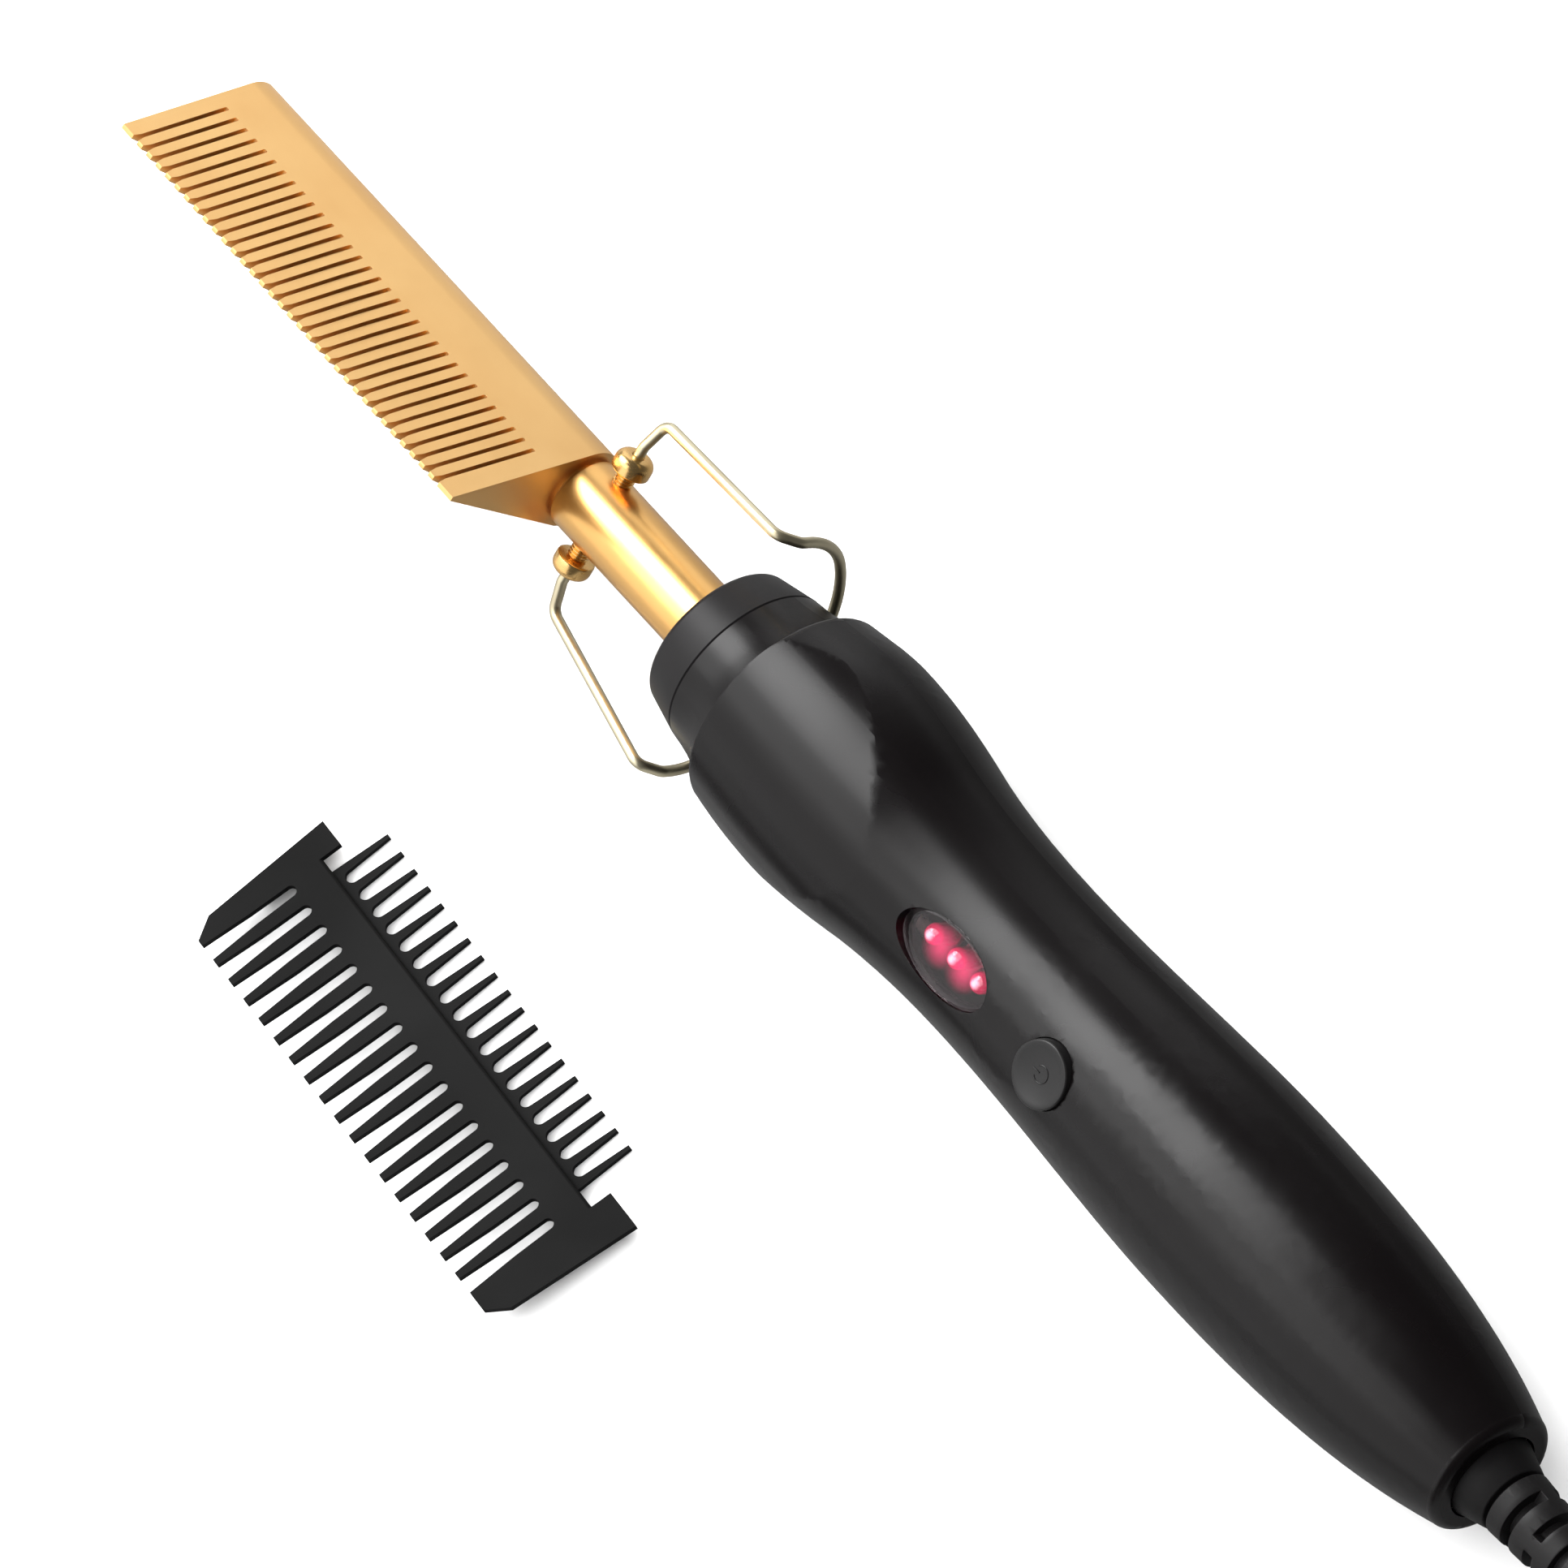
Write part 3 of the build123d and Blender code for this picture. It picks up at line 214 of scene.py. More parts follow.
def buildDrawnGrain():
    # hairlines along the tool, as polishing leaves them on metal
    group, source, result = newGroup("drawnGrain", [("Vector", "NodeSocketVector", None),
                                                    ("Low Roughness", "NodeSocketFloat", 0.2),
                                                    ("High Roughness", "NodeSocketFloat", 0.35)],
                                     [("Height", "NodeSocketFloat"), ("Roughness", "NodeSocketFloat")])
    vector = source.outputs["Vector"]
    lines = noiseNode(group, vector, 1.0, drawnLook["lineDetail"], drawnLook["lineStretch"])
    patches = noiseNode(group, vector, drawnLook["patchScale"], drawnLook["patchDetail"])
    total = mathNode(group, "MULTIPLY_ADD", lines, drawnLook["lineShare"], patches)
    gloss = rangeNode(group, total, source.outputs["Low Roughness"], source.outputs["High Roughness"],
                      *drawnLook["glossSpan"])
    group.links.new(lines, result.inputs["Height"])
    group.links.new(gloss, result.inputs["Roughness"])
    return group


def buildHandling():
    # faint tone changes that handling and casting leave
    group, source, result = newGroup("handling", [("Vector", "NodeSocketVector", None),
                                                  ("Scale", "NodeSocketFloat", 60.0),
                                                  ("Clean", "NodeSocketColor", (1, 1, 1, 1)),
                                                  ("Worn", "NodeSocketColor", (0.8, 0.8, 0.8, 1))],
                                     [("Color", "NodeSocketColor")])
    cloud = noiseNode(group, source.outputs["Vector"], source.outputs["Scale"], handlingLook["detail"])
    factor = rangeNode(group, cloud, 0.0, 1.0, *handlingLook["span"])
    tone = blendNode(group, source.outputs["Clean"], source.outputs["Worn"], factor)
    group.links.new(tone, result.inputs["Color"])
    return group


mouldGrain = buildMouldGrain()
drawnGrain = buildDrawnGrain()
handling = buildHandling()


def placeGroup(tree, group, vector, **values):
    node = tree.nodes.new("ShaderNodeGroup")
    node.node_tree = group
    tree.links.new(vector, node.inputs["Vector"])
    for label, value in values.items():
        node.inputs[label].default_value = value
    return node


def newFinish(name, roughness=0.5, metallic=0.0, ior=1.5):
    finish = bpy.data.materials.new(name)
    finish.use_nodes = True
    tree = finish.node_tree
    shader = tree.nodes["Principled BSDF"]
    shader.inputs["Roughness"].default_value = roughness
    shader.inputs["Metallic"].default_value = metallic
    shader.inputs["IOR"].default_value = ior
    place = tree.nodes.new("ShaderNodeTexCoord").outputs["Object"]
    return finish, tree, shader, place


def addBump(tree, shader, height, distance, strength=1.0):
    bump = tree.nodes.new("ShaderNodeBump")
    bump.inputs["Strength"].default_value = strength
    bump.inputs["Distance"].default_value = distance
    tree.links.new(height, bump.inputs["Height"])
    tree.links.new(bump.outputs["Normal"], shader.inputs["Normal"])


def grainedFinish(finish, tree, shader, place, clean, worn, grain, depth, cloud):
    tone = placeGroup(tree, handling, place, Scale=cloud, Clean=(*clean, 1), Worn=(*worn, 1))
    tree.links.new(tone.outputs["Color"], shader.inputs["Base Color"])
    tree.links.new(grain.outputs["Roughness"], shader.inputs["Roughness"])
    addBump(tree, shader, grain.outputs["Height"], depth)
    return finish


def metalFinish(name, clean, worn, gloss, lineDepth, cloud):
    # clean and worn are colours, gloss the least and the greatest roughness, cloud the scale of the worn patches
    parts = newFinish(name, metallic=1.0)
    tree, place = parts[1], parts[3]
    grain = placeGroup(tree, drawnGrain, place, **{"Low Roughness": gloss[0], "High Roughness": gloss[1]})
    return grainedFinish(*parts, clean, worn, grain, lineDepth, cloud)


def plasticFinish(name, clean, worn, gloss, ior=1.5, grainScale=3000.0, grainDepth=4e-6, cloud=40.0):
    parts = newFinish(name, ior=ior)
    tree, place = parts[1], parts[3]
    grain = placeGroup(tree, mouldGrain, place, **{"Grain Scale": grainScale, "Low Roughness": gloss[0],
                                                   "High Roughness": gloss[1]})
    return grainedFinish(*parts, clean, worn, grain, grainDepth, cloud)


# ---- finishes, one for each material slot
finishes = {
    "gold_head": metalFinish("satinGold", (0.93, 0.59, 0.245), (0.90, 0.55, 0.22), gloss=(0.36, 0.44),
                             lineDepth=3e-6, cloud=45.0),
    "gold_barrel": metalFinish("polishedGold", (0.89, 0.52, 0.18), (0.84, 0.48, 0.16), gloss=(0.28, 0.34),
                               lineDepth=1e-6, cloud=80.0),
    "brass_screw": metalFinish("turnedBrass", (0.93, 0.60, 0.24), (0.85, 0.50, 0.17), gloss=(0.20, 0.30),
                               lineDepth=2e-6, cloud=300.0),
    "pale_wire": metalFinish("palePlatedWire", (0.76, 0.69, 0.49), (0.68, 0.60, 0.41), gloss=(0.30, 0.40),
                             lineDepth=1e-6, cloud=150.0),
    "pin_brass": metalFinish("pinBrass", (0.80, 0.66, 0.38), (0.72, 0.57, 0.30), gloss=(0.22, 0.34),
                             lineDepth=1e-6, cloud=150.0),
    "contact_brass": metalFinish("contactBrass", (0.82, 0.62, 0.32), (0.70, 0.48, 0.22), gloss=(0.25, 0.40),
                                 lineDepth=1e-6, cloud=150.0),
    "steel_screw": metalFinish("zincSteel", (0.62, 0.62, 0.60), (0.50, 0.50, 0.49), gloss=(0.25, 0.40),
                               lineDepth=1e-6, cloud=200.0),
    "black_collar": plasticFinish("collarPlastic", (0.0030, 0.0026, 0.0028), (0.0042, 0.0036, 0.0040),
                                  gloss=(0.40, 0.50), ior=1.33),
    "black_handle": plasticFinish("handlePlastic", (0.0012, 0.0008, 0.0009), (0.0016, 0.0012, 0.0013),
                                  gloss=(0.26, 0.32), ior=1.33),
    "black_button": plasticFinish("buttonPlastic", (0.0040, 0.0038, 0.0039), (0.0055, 0.0052, 0.0053),
                                  gloss=(0.34, 0.42), ior=1.40),
    "black_swivel": plasticFinish("swivelPlastic", (0.0018, 0.0016, 0.0017), (0.0026, 0.0024, 0.0025),
                                  gloss=(0.42, 0.52), ior=1.28),
    "black_guard": plasticFinish("guardPlastic", (0.0028, 0.0028, 0.0028), (0.0038, 0.0038, 0.0038),
                                 gloss=(0.48, 0.58), ior=1.13),
    "cord_vinyl": plasticFinish("cordVinyl", (0.0022, 0.0020, 0.0021), (0.0035, 0.0032, 0.0033),
                                gloss=(0.42, 0.52), ior=1.33, grainScale=1800.0, grainDepth=8e-6),
    "tie_strip": plasticFinish("tieStrip", (0.010, 0.010, 0.010), (0.018, 0.018, 0.018), gloss=(0.6, 0.75),
                               grainScale=1500.0, grainDepth=2e-5),
    "heater_ceramic": plasticFinish("heaterCeramic", (0.62, 0.60, 0.55), (0.50, 0.47, 0.42), gloss=(0.6, 0.75),
                                    grainScale=1500.0, grainDepth=1e-5),
    "lead_sleeve": plasticFinish("sleeveGlassFibre", (0.72, 0.70, 0.64), (0.60, 0.57, 0.50), gloss=(0.7, 0.85),
                                 grainScale=2500.0, grainDepth=1e-5),
    "bush_resin": plasticFinish("bushResin", (0.10, 0.055, 0.03), (0.07, 0.04, 0.02), gloss=(0.5, 0.6),
                                grainScale=1500.0, grainDepth=8e-6),
    "switch_case": plasticFinish("switchCase", (0.02, 0.02, 0.022), (0.03, 0.03, 0.03), gloss=(0.4, 0.5)),
    "board_laminate": plasticFinish("boardLaminate", (0.004, 0.012, 0.007), (0.003, 0.009, 0.006),
                                    gloss=(0.28, 0.40), grainScale=2200.0, grainDepth=6e-6),
    "capacitor_case": plasticFinish("capacitorCase", (0.55, 0.40, 0.06), (0.45, 0.32, 0.05), gloss=(0.3, 0.42)),
    "triac_case": plasticFinish("triacCase", (0.015, 0.015, 0.016), (0.022, 0.022, 0.022), gloss=(0.45, 0.6)),
    "socket_plastic": plasticFinish("socketPlastic", (0.55, 0.54, 0.50), (0.45, 0.44, 0.40), gloss=(0.4, 0.52)),
}

# ---- the lit window, with a painted glow in its lens: levels and the lamps' pitch in millimetres, reaches in metres
window = {"x": 92.0, "lampPitch": 5.06, "glowLevel": 12.8, "glowSide": 0.7, "glowAhead": 0.6, "lensCore": 0.0007,
          "lensReach": 0.0034, "lensFalloff": 1.3, "lensPaintedGlow": (1.0, 0.06, 0.20, 1), "lensPaintedGlowStrength": 0.45,
          "lensTint": (0.92, 0.78, 0.82, 1), "rippleScale": 900.0, "rippleDetail": 2.0, "rippleDepth": 4e-5,
          "rippleStrength": 0.6, "crownLevel": 11.7, "lampCore": 0.0002, "lampReach": 0.0010, "lampFalloff": 1.4,
          "lampStrength": 1.6, "domeEdge": 0.0015, "domeFade": 0.0022, "coatRoughness": 0.03,
          "epoxyTints": ((0.10, 0.001, 0.012, 1), (0.14, 0.002, 0.020, 1)),
          "bodyColour": (0.012, 0.0002, 0.0015, 1), "rimColour": (0.30, 0.002, 0.04, 1),
          "coreColour": (1.0, 0.70, 0.85, 1)}
rowOfLamps = [window["x"] + step * window["lampPitch"] for step in (-1, 0, 1)]
crowns = [toolToFrame @ Vector((x, 0, window["crownLevel"])) for x in rowOfLamps]
betweenCrowns = [toolToFrame @ Vector(((ahead + behind) / 2 + window["glowAhead"], window["glowSide"],
                                       window["glowLevel"]))
                 for ahead, behind in zip(rowOfLamps, rowOfLamps[1:])]


def nearSpots(tree, place, spots, core, reach, falloff):
    # 1 within the core of any spot, and softly down to 0 at the reach
    total = None
    for spot in spots:
        away = tree.nodes.new("ShaderNodeVectorMath")
        away.operation = "DISTANCE"
        away.inputs[1].default_value = spot
        tree.links.new(place, away.inputs[0])
        near = rangeNode(tree, away.outputs["Value"], 1.0, 0.0, core, reach)
        soft = mathNode(tree, "POWER", near, falloff)
        total = soft if total is None else mathNode(tree, "MAXIMUM", total, soft)
    return total


def lensFinish():
    # clear moulding; the pink glow along the lamps' row is painted into it as emission, standing in for their
    # light scattered in the moulding
    finish, tree, shader, place = newFinish("clearLens", roughness=0.04, ior=1.35)
    shader.inputs["Base Color"].default_value = window["lensTint"]
    shader.inputs["Transmission Weight"].default_value = 1.0
    ripple = noiseNode(tree, place, window["rippleScale"], window["rippleDetail"])
    addBump(tree, shader, ripple, window["rippleDepth"], window["rippleStrength"])
    # painted glow: the lens itself emits pink, brightest between the lamps' crowns
    lit = nearSpots(tree, place, betweenCrowns, window["lensCore"], window["lensReach"], window["lensFalloff"])
    tree.links.new(blendNode(tree, (0, 0, 0, 1), window["lensPaintedGlow"], lit), shader.inputs["Emission Color"])
    shader.inputs["Emission Strength"].default_value = window["lensPaintedGlowStrength"]
    return finish


def lampFinish():
    # tinted epoxy, lit from its die: nearly white at the crown
    finish, tree, shader, place = newFinish("lampEpoxy", roughness=0.08, ior=1.53)
    shader.inputs["Coat Weight"].default_value = 1.0
    shader.inputs["Coat Roughness"].default_value = window["coatRoughness"]
    shader.inputs["Emission Strength"].default_value = window["lampStrength"]
    cloud = noiseNode(tree, place, window["rippleScale"], window["rippleDetail"])
    tree.links.new(blendNode(tree, *window["epoxyTints"], cloud), shader.inputs["Base Color"])
    lit = nearSpots(tree, place, crowns, window["domeEdge"], window["domeFade"], 1.0)
    dome = blendNode(tree, window["bodyColour"], window["rimColour"], lit)
    bright = nearSpots(tree, place, crowns, window["lampCore"], window["lampReach"], window["lampFalloff"])
    tree.links.new(blendNode(tree, dome, window["coreColour"], bright), shader.inputs["Emission Color"])
    return finish


finishes["clear_lens"] = lensFinish()
finishes["red_lamp"] = lampFinish()

slotOf = {part["node"]: part["material_slot"] for part in frame["record"]["subparts"]}
for nodeName, node in frame["nodes"].items():
    node.data.materials.clear()
    node.data.materials.append(finishes[slotOf[nodeName]])
flex.data.materials.append(finishes["cord_vinyl"])
print("finishes made:", len(finishes))

# ---- modelling tools; pieces are shaped in tool space and then settled into the frame
shaping = {"bevelSegments": 2, "sharpAngle": 30, "weld": 0.0005}


def pick(*chosen):
    if bpy.context.mode != "OBJECT":
        bpy.ops.object.mode_set(mode="OBJECT")
    bpy.ops.object.select_all(action="DESELECT")
    for piece in chosen:
        piece.select_set(True)
    bpy.context.view_layer.objects.active = chosen[0]


def bake(piece):
    pick(piece)
    bpy.ops.object.transform_apply(location=True, rotation=True, scale=True)


def selectPoints(piece, test):
    # leaves the piece in edit mode with the points that pass the test selected
    pick(piece)
    bpy.ops.object.mode_set(mode="EDIT")
    bpy.ops.mesh.select_mode(type="VERT")
    bpy.ops.mesh.select_all(action="DESELECT")
    bpy.ops.object.mode_set(mode="OBJECT")
    for point in piece.data.vertices:
        point.select = test(point.co)
    bpy.ops.object.mode_set(mode="EDIT")


def applyModifier(piece, kind, **values):
    pick(piece)
    bpy.ops.object.modifier_add(type=kind)
    modifier = piece.modifiers[-1]
    for key, value in values.items():
        setattr(modifier, key, value)
    bpy.ops.object.modifier_apply(modifier=modifier.name)


def softenEdges(piece, width):
    # small rounds on the sharp edges, so that they catch the light
    applyModifier(piece, "BEVEL", width=width, segments=shaping["bevelSegments"], limit_method="ANGLE",
                  angle_limit=math.radians(shaping["sharpAngle"]))


def joinPieces(name, *parts):
    pick(*parts)
    bpy.ops.object.join()
    parts[0].name = name
    return parts[0]


def turnPiece(name, stations, sides, ring=False):
    # stations are (x, radius); a ring's last station is its first again
    bpy.ops.object.select_all(action="DESELECT")
    startX, startRadius = stations[0]
    bpy.ops.mesh.primitive_circle_add(vertices=sides, radius=startRadius, fill_type="NOTHING" if ring else "NGON",
                                      location=(startX, 0, 0), rotation=(0, math.pi / 2, 0))
    piece = bpy.context.object
    piece.name = name
    bake(piece)
    bpy.ops.object.mode_set(mode="EDIT")
    bpy.ops.mesh.select_all(action="SELECT")
    for (fromX, fromRadius), (toX, toRadius) in zip(stations, stations[1:]):
        bpy.ops.mesh.extrude_region_move(TRANSFORM_OT_translate={"value": (toX - fromX, 0, 0)})
        bpy.ops.transform.resize(value=(1, toRadius / fromRadius, toRadius / fromRadius),
                                 center_override=(toX, 0, 0))
    bpy.ops.mesh.select_all(action="SELECT")
    bpy.ops.mesh.remove_doubles(threshold=shaping["weld"])
    bpy.ops.mesh.normals_make_consistent(inside=False)
    bpy.ops.object.mode_set(mode="OBJECT")
    return piece


def roundCorner(centreX, centreRadius, size, start, end, steps):
    # stations round a corner, by angle from the turning axis
    angles = [math.radians(start + (end - start) * step / steps) for step in range(steps + 1)]
    return [(centreX + size * math.cos(angle), centreRadius + size * math.sin(angle)) for angle in angles]


def upright(piece, x):
    # from the turning axis to the teeth's way, over the place x
    piece.rotation_euler = (0, -math.pi / 2, 0)
    piece.location = (x, 0, 0)
    bake(piece)


def dress(piece, node, body):
    piece.data.materials.clear()
    piece.data.materials.append(finishes[slotOf[node]])
    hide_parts(node)
    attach(piece, body)


def settle(piece, node, body, smoothAngle=30):
    piece.matrix_world = toolToFrame
    bake(piece)
    bpy.ops.object.shade_smooth_by_angle(angle=math.radians(smoothAngle))
    dress(piece, node, body)
    print("modelled:", piece.name)


# ---- comb head: a wedge from a round spine to a thin strip of tips, cut by the slots
combHead = {"baseX": -5.2, "farX": -83.7, "spine": 6.5, "spineSides": 128, "reach": 26.7, "farReach": 23.7,
            "tip": 0.7, "tipHeight": 0.02, "flatAngle": 1.5, "chamfer": 2.4, "slots": 33, "firstSlot": -9.0,
            "lastSlot": -80.75, "slotWidth": 0.66, "slotMouth": 1.36, "root": 9.3, "farRoot": 7.7,
            "rootRound": 0.48, "flare": 1.3, "pastTips": 0.5, "cutterWidth": 16.0, "nearZero": 0.01, "edge": 0.1}


def alongHead(x, atBase, atFarEnd):
    share = (combHead["baseX"] - x) / (combHead["baseX"] - combHead["farX"])
    return atBase + (atFarEnd - atBase) * share


def makeHeadWedge():
    length = combHead["baseX"] - combHead["farX"]
    middle = (combHead["baseX"] + combHead["farX"]) / 2
    tipHeight = combHead["tipHeight"]
    bpy.ops.object.select_all(action="DESELECT")
    bpy.ops.mesh.primitive_cylinder_add(vertices=combHead["spineSides"], radius=combHead["spine"], depth=length,
                                        location=(middle, 0, 0), rotation=(0, math.pi / 2, 0))
    wedge = bpy.context.object
    bake(wedge)
    bpy.ops.mesh.primitive_cube_add(size=1, location=(middle, 0, combHead["reach"] - tipHeight / 2),
                                    scale=(length, combHead["tip"], tipHeight))
    strip = bpy.context.object
    bake(strip)
    selectPoints(strip, lambda place: place.x < middle)
    bpy.ops.transform.translate(value=(0, 0, combHead["farReach"] - combHead["reach"]))
    bpy.ops.object.mode_set(mode="OBJECT")
    joinPieces("combHead", wedge, strip)
    bpy.ops.object.mode_set(mode="EDIT")
    bpy.ops.mesh.select_all(action="SELECT")
    bpy.ops.mesh.convex_hull()
    bpy.ops.mesh.select_all(action="SELECT")
    bpy.ops.mesh.dissolve_limited(angle_limit=math.radians(combHead["flatAngle"]))
    bpy.ops.mesh.select_all(action="SELECT")
    bpy.ops.mesh.bisect(plane_co=(combHead["farX"] + combHead["chamfer"], 0, -combHead["spine"]),
                        plane_no=(-1, 0, -1), use_fill=True, clear_outer=True)
    bpy.ops.object.mode_set(mode="OBJECT")
    return wedge


def makeSlotCutter():
    # stands on its round root at z = 0 and widens towards the tips
    width, height = combHead["slotWidth"], combHead["reach"] - combHead["root"] - combHead["flare"]
    nearZero = combHead["nearZero"]
    bpy.ops.object.select_all(action="DESELECT")
    bpy.ops.mesh.primitive_cube_add(size=1, location=(0, 0, height / 2),
                                    scale=(width, combHead["cutterWidth"], height))
    cutter = bpy.context.object
    bake(cutter)
    selectPoints(cutter, lambda place: place.z > height / 2)
    bpy.ops.mesh.extrude_region_move(
        TRANSFORM_OT_translate={"value": (0, 0, combHead["flare"] + combHead["pastTips"])})
    bpy.ops.transform.resize(value=(combHead["slotMouth"] / width, 1, 1), center_override=(0, 0, 0))
    selectPoints(cutter, lambda place: place.z < nearZero)
    bpy.ops.mesh.select_mode(type="EDGE")
    bpy.ops.object.mode_set(mode="OBJECT")
    for edge in cutter.data.edges:
        ends = [cutter.data.vertices[number].co for number in edge.vertices]
        edge.select = all(end.z < nearZero for end in ends) and abs(ends[0].y - ends[1].y) > width
    bpy.ops.object.mode_set(mode="EDIT")
    bpy.ops.mesh.bevel(offset=width * combHead["rootRound"], segments=3, affect="EDGES")
    bpy.ops.object.mode_set(mode="OBJECT")
    return cutter


def makeCombHead():
    head, template = makeHeadWedge(), makeSlotCutter()
    full = combHead["reach"] - combHead["root"]
    cutters = []
    for number in range(combHead["slots"]):
        share = number / (combHead["slots"] - 1)
        x = combHead["firstSlot"] + (combHead["lastSlot"] - combHead["firstSlot"]) * share
        root = alongHead(x, combHead["root"], combHead["farRoot"])
        pick(template)
        bpy.ops.object.duplicate()
        copy = bpy.context.object
        copy.location = (x, 0, root)
        copy.scale = (1, 1, (alongHead(x, combHead["reach"], combHead["farReach"]) - root) / full)
        bake(copy)
        cutters.append(copy)
    cutter = joinPieces("slotCutter", *cutters)
    applyModifier(head, "BOOLEAN", operation="DIFFERENCE", object=cutter, solver="EXACT")
    bpy.data.objects.remove(cutter)
    bpy.data.objects.remove(template)
    softenEdges(head, combHead["edge"])
    settle(head, "comb_head", "handle")
    applyModifier(head, "WEIGHTED_NORMAL", keep_sharp=True)


makeCombHead()

# ---- barrel, turned from tube
barrel = {"startX": -15.15, "seatX": -4.6, "endX": 47.0, "spigot": 4.7, "radius": 5.6, "bore": 4.0, "edge": 0.25}


def makeBarrel():
    seatX, radius, edge = barrel["seatX"], barrel["radius"], barrel["edge"]
    stations = [(barrel["startX"], barrel["spigot"]), (seatX, barrel["spigot"])]
    stations += roundCorner(seatX + edge, radius - edge, edge, 180, 90, steps=4)
    stations += [(barrel["endX"], radius), (barrel["endX"], barrel["bore"]), (barrel["startX"], barrel["bore"]),
                 stations[0]]
    settle(turnPiece("barrel", stations, sides=128, ring=True), "barrel_tube", "handle")


makeBarrel()

# ---- collar cap, with a shadow groove where it meets the shells
collar = {"frontX": 25.7, "backX": 33.0, "hole": 6.0, "frontRadius": 11.9, "backRadius": 13.3, "edge": 1.2,
          "groove": 0.35, "grooveDrop": 0.05, "insideX": 27.95, "inside": 10.6}


def makeCollar():
    frontX, backX, edge, groove = (collar[key] for key in ("frontX", "backX", "edge", "groove"))
    lean = math.degrees(math.atan2(collar["backRadius"] - collar["frontRadius"], backX - frontX))
    stations = [(frontX, collar["hole"])]
    stations += roundCorner(frontX + edge, collar["frontRadius"] - edge, edge, 180, 90 + lean, steps=8)
    stations += [(backX - groove, collar["backRadius"] - collar["grooveDrop"]),
                 (backX, collar["backRadius"] - groove), (backX, collar["inside"]),
                 (collar["insideX"], collar["inside"]), (collar["insideX"], collar["hole"]), stations[0]]
    settle(turnPiece("collarCap", stations, sides=160, ring=True), "collar_cap", "handle")


makeCollar()

# ---- stand screws: threaded shank, round head, hole for the wire's end; each thread's marks are from its start
standScrew = {"tip": 4.5, "tipRadius": 0.9, "lead": 0.1, "near": 7.7, "top": 10.4, "crest": 1.5, "valley": 1.2,
              "pitch": 0.5, "crestStart": 0.18, "crestEnd": 0.30, "threads": 6, "head": 2.85, "dome": 1.35,
              "edge": 0.25, "hole": 0.86, "holeLip": 0.15, "holeDepth": 1.76}


def makeStandScrews():
    tip, near, top, crest, valley, head, edge, dome, hole, lip = (
        standScrew[key] for key in ("tip", "near", "top", "crest", "valley", "head", "edge", "dome", "hole",
                                    "holeLip"))
    stations = [(tip, standScrew["tipRadius"])]
    for thread in range(standScrew["threads"]):
        start = tip + standScrew["lead"] + thread * standScrew["pitch"]
        stations += [(start, valley), (start + standScrew["crestStart"], crest),
                     (start + standScrew["crestEnd"], crest)]
    stations += [(near, valley)]
    stations += roundCorner(near + edge, head - edge, edge, 180, 90, steps=3)
    stations += roundCorner(top - dome, head - dome, dome, 90, 0, steps=8)
    stations += [(top, hole + lip), (top - lip, hole), (top - standScrew["holeDepth"], hole)]
    screws = []
    for hand in (-1, 1):
        screw = turnPiece("screw", stations, sides=48)
        screw.rotation_euler = (0, 0, hand * math.pi / 2)
        bake(screw)
        screws.append(screw)
    settle(joinPieces("standScrews", *screws), "stand_screws", "handle", smoothAngle=40)


makeStandScrews()

# ---- power button with its mark
button = {"x": 115.6, "stem": 2.0, "stemLevel": 9.5, "flangeLevel": 10.25, "flangeTop": 11.25, "flange": 5.7,
          "radius": 4.9, "rimLevel": 15.9, "edge": 0.3, "land": 0.5, "dish": 17.0, "dishSteps": 10,
          "markRadius": 1.25, "markLine": 0.11, "markGap": 38, "barStart": -1.65, "barEnd": -0.35,
          "barRounding": 0.4}


def dishLevel(radius):
    centre = button["rimLevel"] + math.sqrt(button["dish"] ** 2 - (button["radius"] - button["land"]) ** 2)
    return centre - math.sqrt(button["dish"] ** 2 - radius ** 2)


def makeMark():
    # the usual sign: a ring open at its top and a short bar in the opening
    x, line, level = button["x"], button["markLine"], dishLevel(button["markRadius"])
    bpy.ops.object.select_all(action="DESELECT")
    bpy.ops.mesh.primitive_torus_add(major_radius=button["markRadius"], minor_radius=line, major_segments=72,
                                     minor_segments=10, location=(x, 0, level))
    ring = bpy.context.object
    bake(ring)
    gap = math.radians(button["markGap"])
    selectPoints(ring, lambda place: abs(math.atan2(place.y, x - place.x)) < gap)
    bpy.ops.mesh.delete(type="VERT")
    bpy.ops.mesh.select_all(action="SELECT")
    bpy.ops.mesh.fill_holes(sides=0)
    bpy.ops.object.mode_set(mode="OBJECT")
    length = button["barEnd"] - button["barStart"]
    bpy.ops.mesh.primitive_cylinder_add(vertices=12, radius=line, depth=length,
                                        location=(x + button["barStart"] + length / 2, 0, level),
                                        rotation=(0, math.pi / 2, 0))
    bar = bpy.context.object
    bake(bar)
    softenEdges(bar, line * button["barRounding"])
    return ring, bar


def makePowerButton():
    flangeTop, radius, edge = button["flangeTop"], button["radius"], button["edge"]
    stations = [(button["stemLevel"], button["stem"]), (button["flangeLevel"], button["stem"]),
                (button["flangeLevel"], button["flange"]), (flangeTop, button["flange"]), (flangeTop, radius)]
    stations += roundCorner(button["rimLevel"] - edge, radius - edge, edge, 90, 0, steps=5)
    dishRadius = radius - button["land"]
    for step in range(button["dishSteps"]):
        reach = dishRadius * (1 - step / button["dishSteps"])
        stations.append((dishLevel(reach), reach))
    body = turnPiece("powerButton", stations, sides=96)
    upright(body, button["x"])
    settle(joinPieces("powerButton", body, *makeMark()), "power_button", "button", smoothAngle=25)


makePowerButton()

# ---- lens and lamps in the window
lens = {"base": 12.1, "top": 13.15, "length": 18.5, "width": 9.9, "edge": 0.25, "edgeEnd": 25, "crown": 0.35,
        "crownSteps": 9}
lamp = {"foot": 6.5, "flangeTop": 7.5, "flange": 1.85, "radius": 1.5, "crown": 11.8, "domeShare": 0.95,
        "domeEnd": 4, "leg": 0.3, "legStart": 5.0, "legSpread": 0.75, "legRounding": 0.25}


